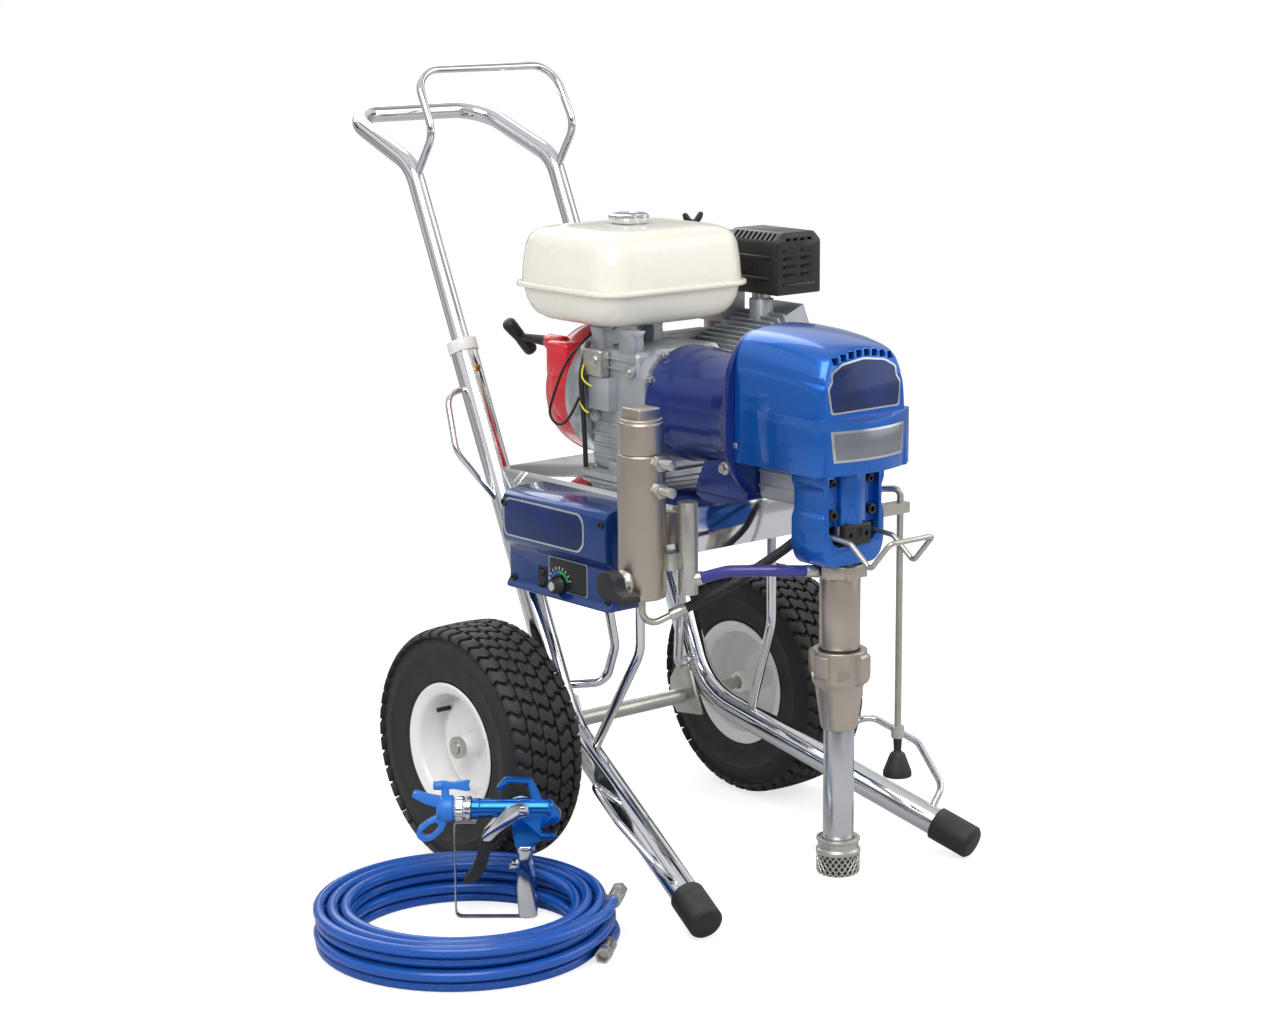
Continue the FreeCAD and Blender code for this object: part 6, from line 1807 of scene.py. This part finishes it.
        upper = self.sheet("tip_wing", [(100, 151), (112, 148), (128, 153.5), (143, 162), (142, 166.5),
            (138, 167.5), (118, 161.5), (107.5, 160)], 7.5, (2, 3, 6, 2, 2, 2, 6, 2), 1.2)
        head = Bench.carve(head, [Bench.carve(lower, [gap])], "UNION")
        head = Bench.carve(head, [upper], "UNION")
        head = Bench.soften(Bench.carve(Bench.carve(head, [bore]), [mouth]), 0, 32)
        Bench.mount(head, "gun_blue", "gun_tip_guard", finish="guard_blue")
        barrel = Bench.rod("tip_barrel", 5, self.place(101, 0, 136), self.place(101, 0, 171), 0.4, 32)
        flag = self.sheet("tip_flag", [(113, 170), (113, 180), (104, 181.5), (92, 179), (72, 182.5),
            (69, 181), (71.5, 175), (69, 169.2), (72, 168), (92, 171.5), (100, 169.5)], 3.4,
            (2, 2, 4, 5, 2, 1.5, 3, 1.5, 2, 5, 4), 1.0)
        knob = Bench.rod("tip_knob", 5.6, self.place(104, 0, 175), self.place(116, 0, 175), 1.2, 32)
        Bench.mount(Bench.join("tip_flag", [barrel, flag, knob]), "gun_blue", "gun_tip", body="gun_tip",
            finish="guard_blue")

    def build(self) -> None:
        """Makes the gun."""
        Bench.mount(self.body(), "gun_blue", "gun_body")
        Bench.mount(self.grip(), "chrome", "gun_grip")
        Bench.mount(self.guard(), "zinc_steel", "gun_guard")
        self.trigger()
        self.nose()


@dataclass
class IntakePump:
    """The lower pump: jam nut, waisted intake with lugs, bright suction tube and mesh strainer."""

    x: float = 0.0
    y: float = -430.0
    wires: int = 22
    twist: float = 2.6

    def nut(self) -> Piece:
        """The jam nut with six lugs."""
        outline = []
        for number in range(6):
            angle = TURN * number / 6 + 0.2
            for turn, reach in ((-0.24, 31), (-0.15, 35.2), (0.15, 35.2), (0.24, 31)):
                outline.append((reach * math.cos(angle + turn), reach * math.sin(angle + turn)))
        nut = Bench.plate("pump_jam_nut", rounded(outline, 1.5, 2), 16.6, spot(self.x, self.y, 430.2),
            RIGHT, REAR)
        hole = Bench.rod("nut_tool", 20.1, spot(self.x, self.y, 425), spot(self.x, self.y, 450), 0, 48)
        return Bench.soften(Bench.carve(nut, [hole]), 0.8, 30)

    def intake(self) -> Piece:
        """The cast intake body with its four lugs and its small side ports."""
        profile = [(20.1, 229), (22.5, 228.4), (24, 232), (31.5, 286), (35.5, 292), (36, 296), (36, 333),
            (35, 334), (27, 334), (26.6, 330), (20.1, 300)]
        body = Bench.lathe("intake_casting", rounded(profile, (0.5, 1, 3, 6, 3, 3, 1, 0.6, 0.5, 0.5, 1), 3),
            spot(self.x, self.y, 0), "z", 72, loop=True)
        lugs = []
        for number in range(4):
            angle = TURN * (number + 0.12) / 4
            out = Vector((math.cos(angle), math.sin(angle), 0))
            across = Vector((-out.y, out.x, 0))
            middle = spot(self.x, self.y, 0) + out * 30 * MM
            lug = [(0, 288), (7, 292), (12, 300), (12, 327), (10, 331), (0, 331)]
            plate = Bench.plate("intake_lug", rounded(lug, (0.2, 3, 4, 3, 2, 0.2), 3), 20, middle
                + across * 10 * MM, out, UP)
            lugs.append(Bench.soften(plate, 1.4, 32))
        body = Bench.carve(body, lugs, "UNION")
        hollows = []
        for number in range(4):
            angle = TURN * (number + 0.62) / 4
            out = Vector((math.cos(angle), math.sin(angle), 0))
            across = Vector((-out.y, out.x, 0))
            middle = spot(self.x, self.y, 0) + out * 33.2 * MM
            tall = [(-8, 300), (8, 300), (8, 330), (-8, 330)]
            hollows.append(Bench.plate("intake_tool", rounded(tall, 2, 2), 10, middle, across, UP))
        return Bench.soften(Bench.carve(body, hollows), 0.5, 32)

    def strainer(self) -> tuple[Piece, Piece]:
        """The strainer: a rolled bright collar with its woven wires, and the dark cup behind them, whose
        dark wall paints the shade seen through the gaps in the mesh.
        """
        axis = spot(self.x, self.y, 0)
        collar = Bench.lathe("strainer_collar", rounded([(20.2, 60), (27.8, 60), (29.3, 63), (29.3, 66),
            (26.5, 68), (26.5, 76), (28.6, 78), (28.6, 81.6), (20.2, 81.6)], 1.2, 3), axis, "z", 64,
            loop=True)
        # The cup is dark so that its wall paints the shade behind the mesh; its floor is the strainer's
        # end.
        cup = Bench.lathe("strainer_cup", [(0.5, 33), (24, 33), (26.6, 36), (27, 60), (25.6, 61),
            (25, 37.5), (23.4, 35), (0.5, 35)], axis, "z", 64)
        wires = []
        for number in range(self.wires):
            for way_round in (1, -1):
                points = []
                for step in range(9):
                    share = step / 8
                    angle = TURN * (number + way_round * share * self.twist) / self.wires
                    radius = 27.6 + 0.35 * math.cos(math.pi * step + way_round * math.pi / 2) - (1.5
                        if step == 0 else 0)
                    points.append(spot(self.x + radius * math.cos(angle), self.y + radius * math.sin(angle),
                        34 + 27 * share))
                wires.append(points)
        return Bench.join("strainer_mesh", [collar, Bench.wires("strainer_wires", wires, 1.0, 1, 0,
            60)]), cup

    def build(self) -> None:
        """Makes the lower pump."""
        Bench.mount(self.nut(), "pump_nickel", "pump_nut")
        Bench.mount(self.intake(), "pump_nickel", "intake_valve")
        mesh, cup = self.strainer()
        Bench.mount(mesh, "pump_nickel", "strainer", finish="zinc_steel")
        # Dark cup: painted shade behind the strainer's mesh.
        Bench.mount(cup, "black_steel")
        seal = Bench.lathe("pump_seal", rounded([(24, 333), (27.4, 333), (27.4, 336.4), (24, 336.4)], 1, 3),
            spot(self.x, self.y, 0), "z", 56, loop=True)
        Bench.mount(seal, "black_plastic")


@dataclass
class Trim:
    """Small fittings: handle buttons, welds, thin wires and the bracket box."""

    def build(self) -> None:
        """Makes the fittings."""
        slope = Vector((0, 0.414146, 0.910211))
        outward = Vector((0, -slope.z, slope.y))
        buttons = []
        for x in (-126, 126):
            seat = spot(x, -25 + slope.y * 510, 172 + slope.z * 510) + outward * 18.4 * MM
            buttons.append(Bench.rod("handle_button", 4.6, seat, seat + outward * 3.4 * MM, 1.2, 28))
        Bench.mount(Bench.join("handle_buttons", buttons), "zinc_steel", finish="brass")
        welds = []
        for x in (-126, 126):
            for side in (-1, 1):
                points = [spot(x + 13 * math.cos(a) * side, -25 + 19.5 * math.sin(a) - 4, 168
                    + 5 * math.cos(a * 2)) for a in (-1.2, -0.6, 0, 0.6, 1.2)]
                welds.append(Bench.wires("carrier_weld", [points], 2.2))
        Bench.mount(Bench.join("carrier_welds", welds), "zinc_steel", finish="weld_brown")
        box = Bench.block("bracket_box", (-94, -62, 652), (-76, -24, 690), 4, 3)
        bolt = Bench.screw("bracket_bolt", spot(-93.5, -50, 676), "-x", 7, 5, socket=False)
        Bench.mount(Bench.join("bracket_box", [box, bolt]), "zinc_steel")
        sleeve = [(-78, -20, 696), (-97, -24, 664), (-99, -30, 620), (-98, -34, 570), (-97, -34, 528)]
        loop = [(-62, -6, 704), (-92, -18, 694), (-104, 2, 664), (-110, 20, 618), (-112, 28, 594),
            (-107, 12, 578), (-102, -8, 592), (-99.5, -24, 622)]
        cables = [Bench.wires("black_cable", [[spot(*place) for place in line]], radius)
            for line, radius in ((sleeve, 3.4), (loop, 1.9))]
        Bench.mount(Bench.join("black_cables", cables), "black_plastic", finish="wire_black")
        yellow = ([(-95, -30, 668), (-101, -30, 656), (-101, -38, 644), (-96, -48, 640)],
            [(-101, -28, 618), (-102, -34, 606), (-99, -44, 604)])
        wires = [Bench.wires("yellow_wire", [[spot(*place) for place in line]], 1.2) for line in yellow]
        Bench.mount(Bench.join("yellow_wires", wires), "dial_panel", finish="wire_yellow")


SPECIAL = {"pump_hose": "pump_hose_violet", "suction_tube": "badge_silver"}


def dress_nodes() -> None:
    """Refines every frame node that no detailed piece stands for, and gives it its slot's finish."""
    done = {node for piece in bpy.data.objects if "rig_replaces" in piece for node in piece["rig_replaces"]}
    slots = {row["node"]: row["material_slot"] for row in frame["record"]["subparts"]}
    for node, source in frame["nodes"].items():
        if node not in done:
            Bench.mount(Bench.refine(node), slots[node], node, body=source["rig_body"],
                finish=SPECIAL.get(node, ""))


def main() -> None:
    """Builds the studio and the machine, piece by piece."""
    logging.basicConfig(level=logging.INFO, format="%(name)s: %(message)s")
    Bench.clear()
    groups = Groups()
    Bench.finishes.update((finish.name, finish.make(groups)) for finish in FINISHES)
    Studio().build()
    makers = [SprayHose(), *[kind(label, side) for label, side in SIDES for kind in (Tyre, Rim)],
        FrontCover(), ClutchHousing(), Yoke(), FuelTank(), Recoil(), EngineBlock(), MufflerGuard(),
        AirCleaner(), ControlBox(), Manifold(), SprayGun(), IntakePump(), Trim()]
    for maker in makers:
        maker.build()
    dress_nodes()


if __name__ == "__main__":
    main()
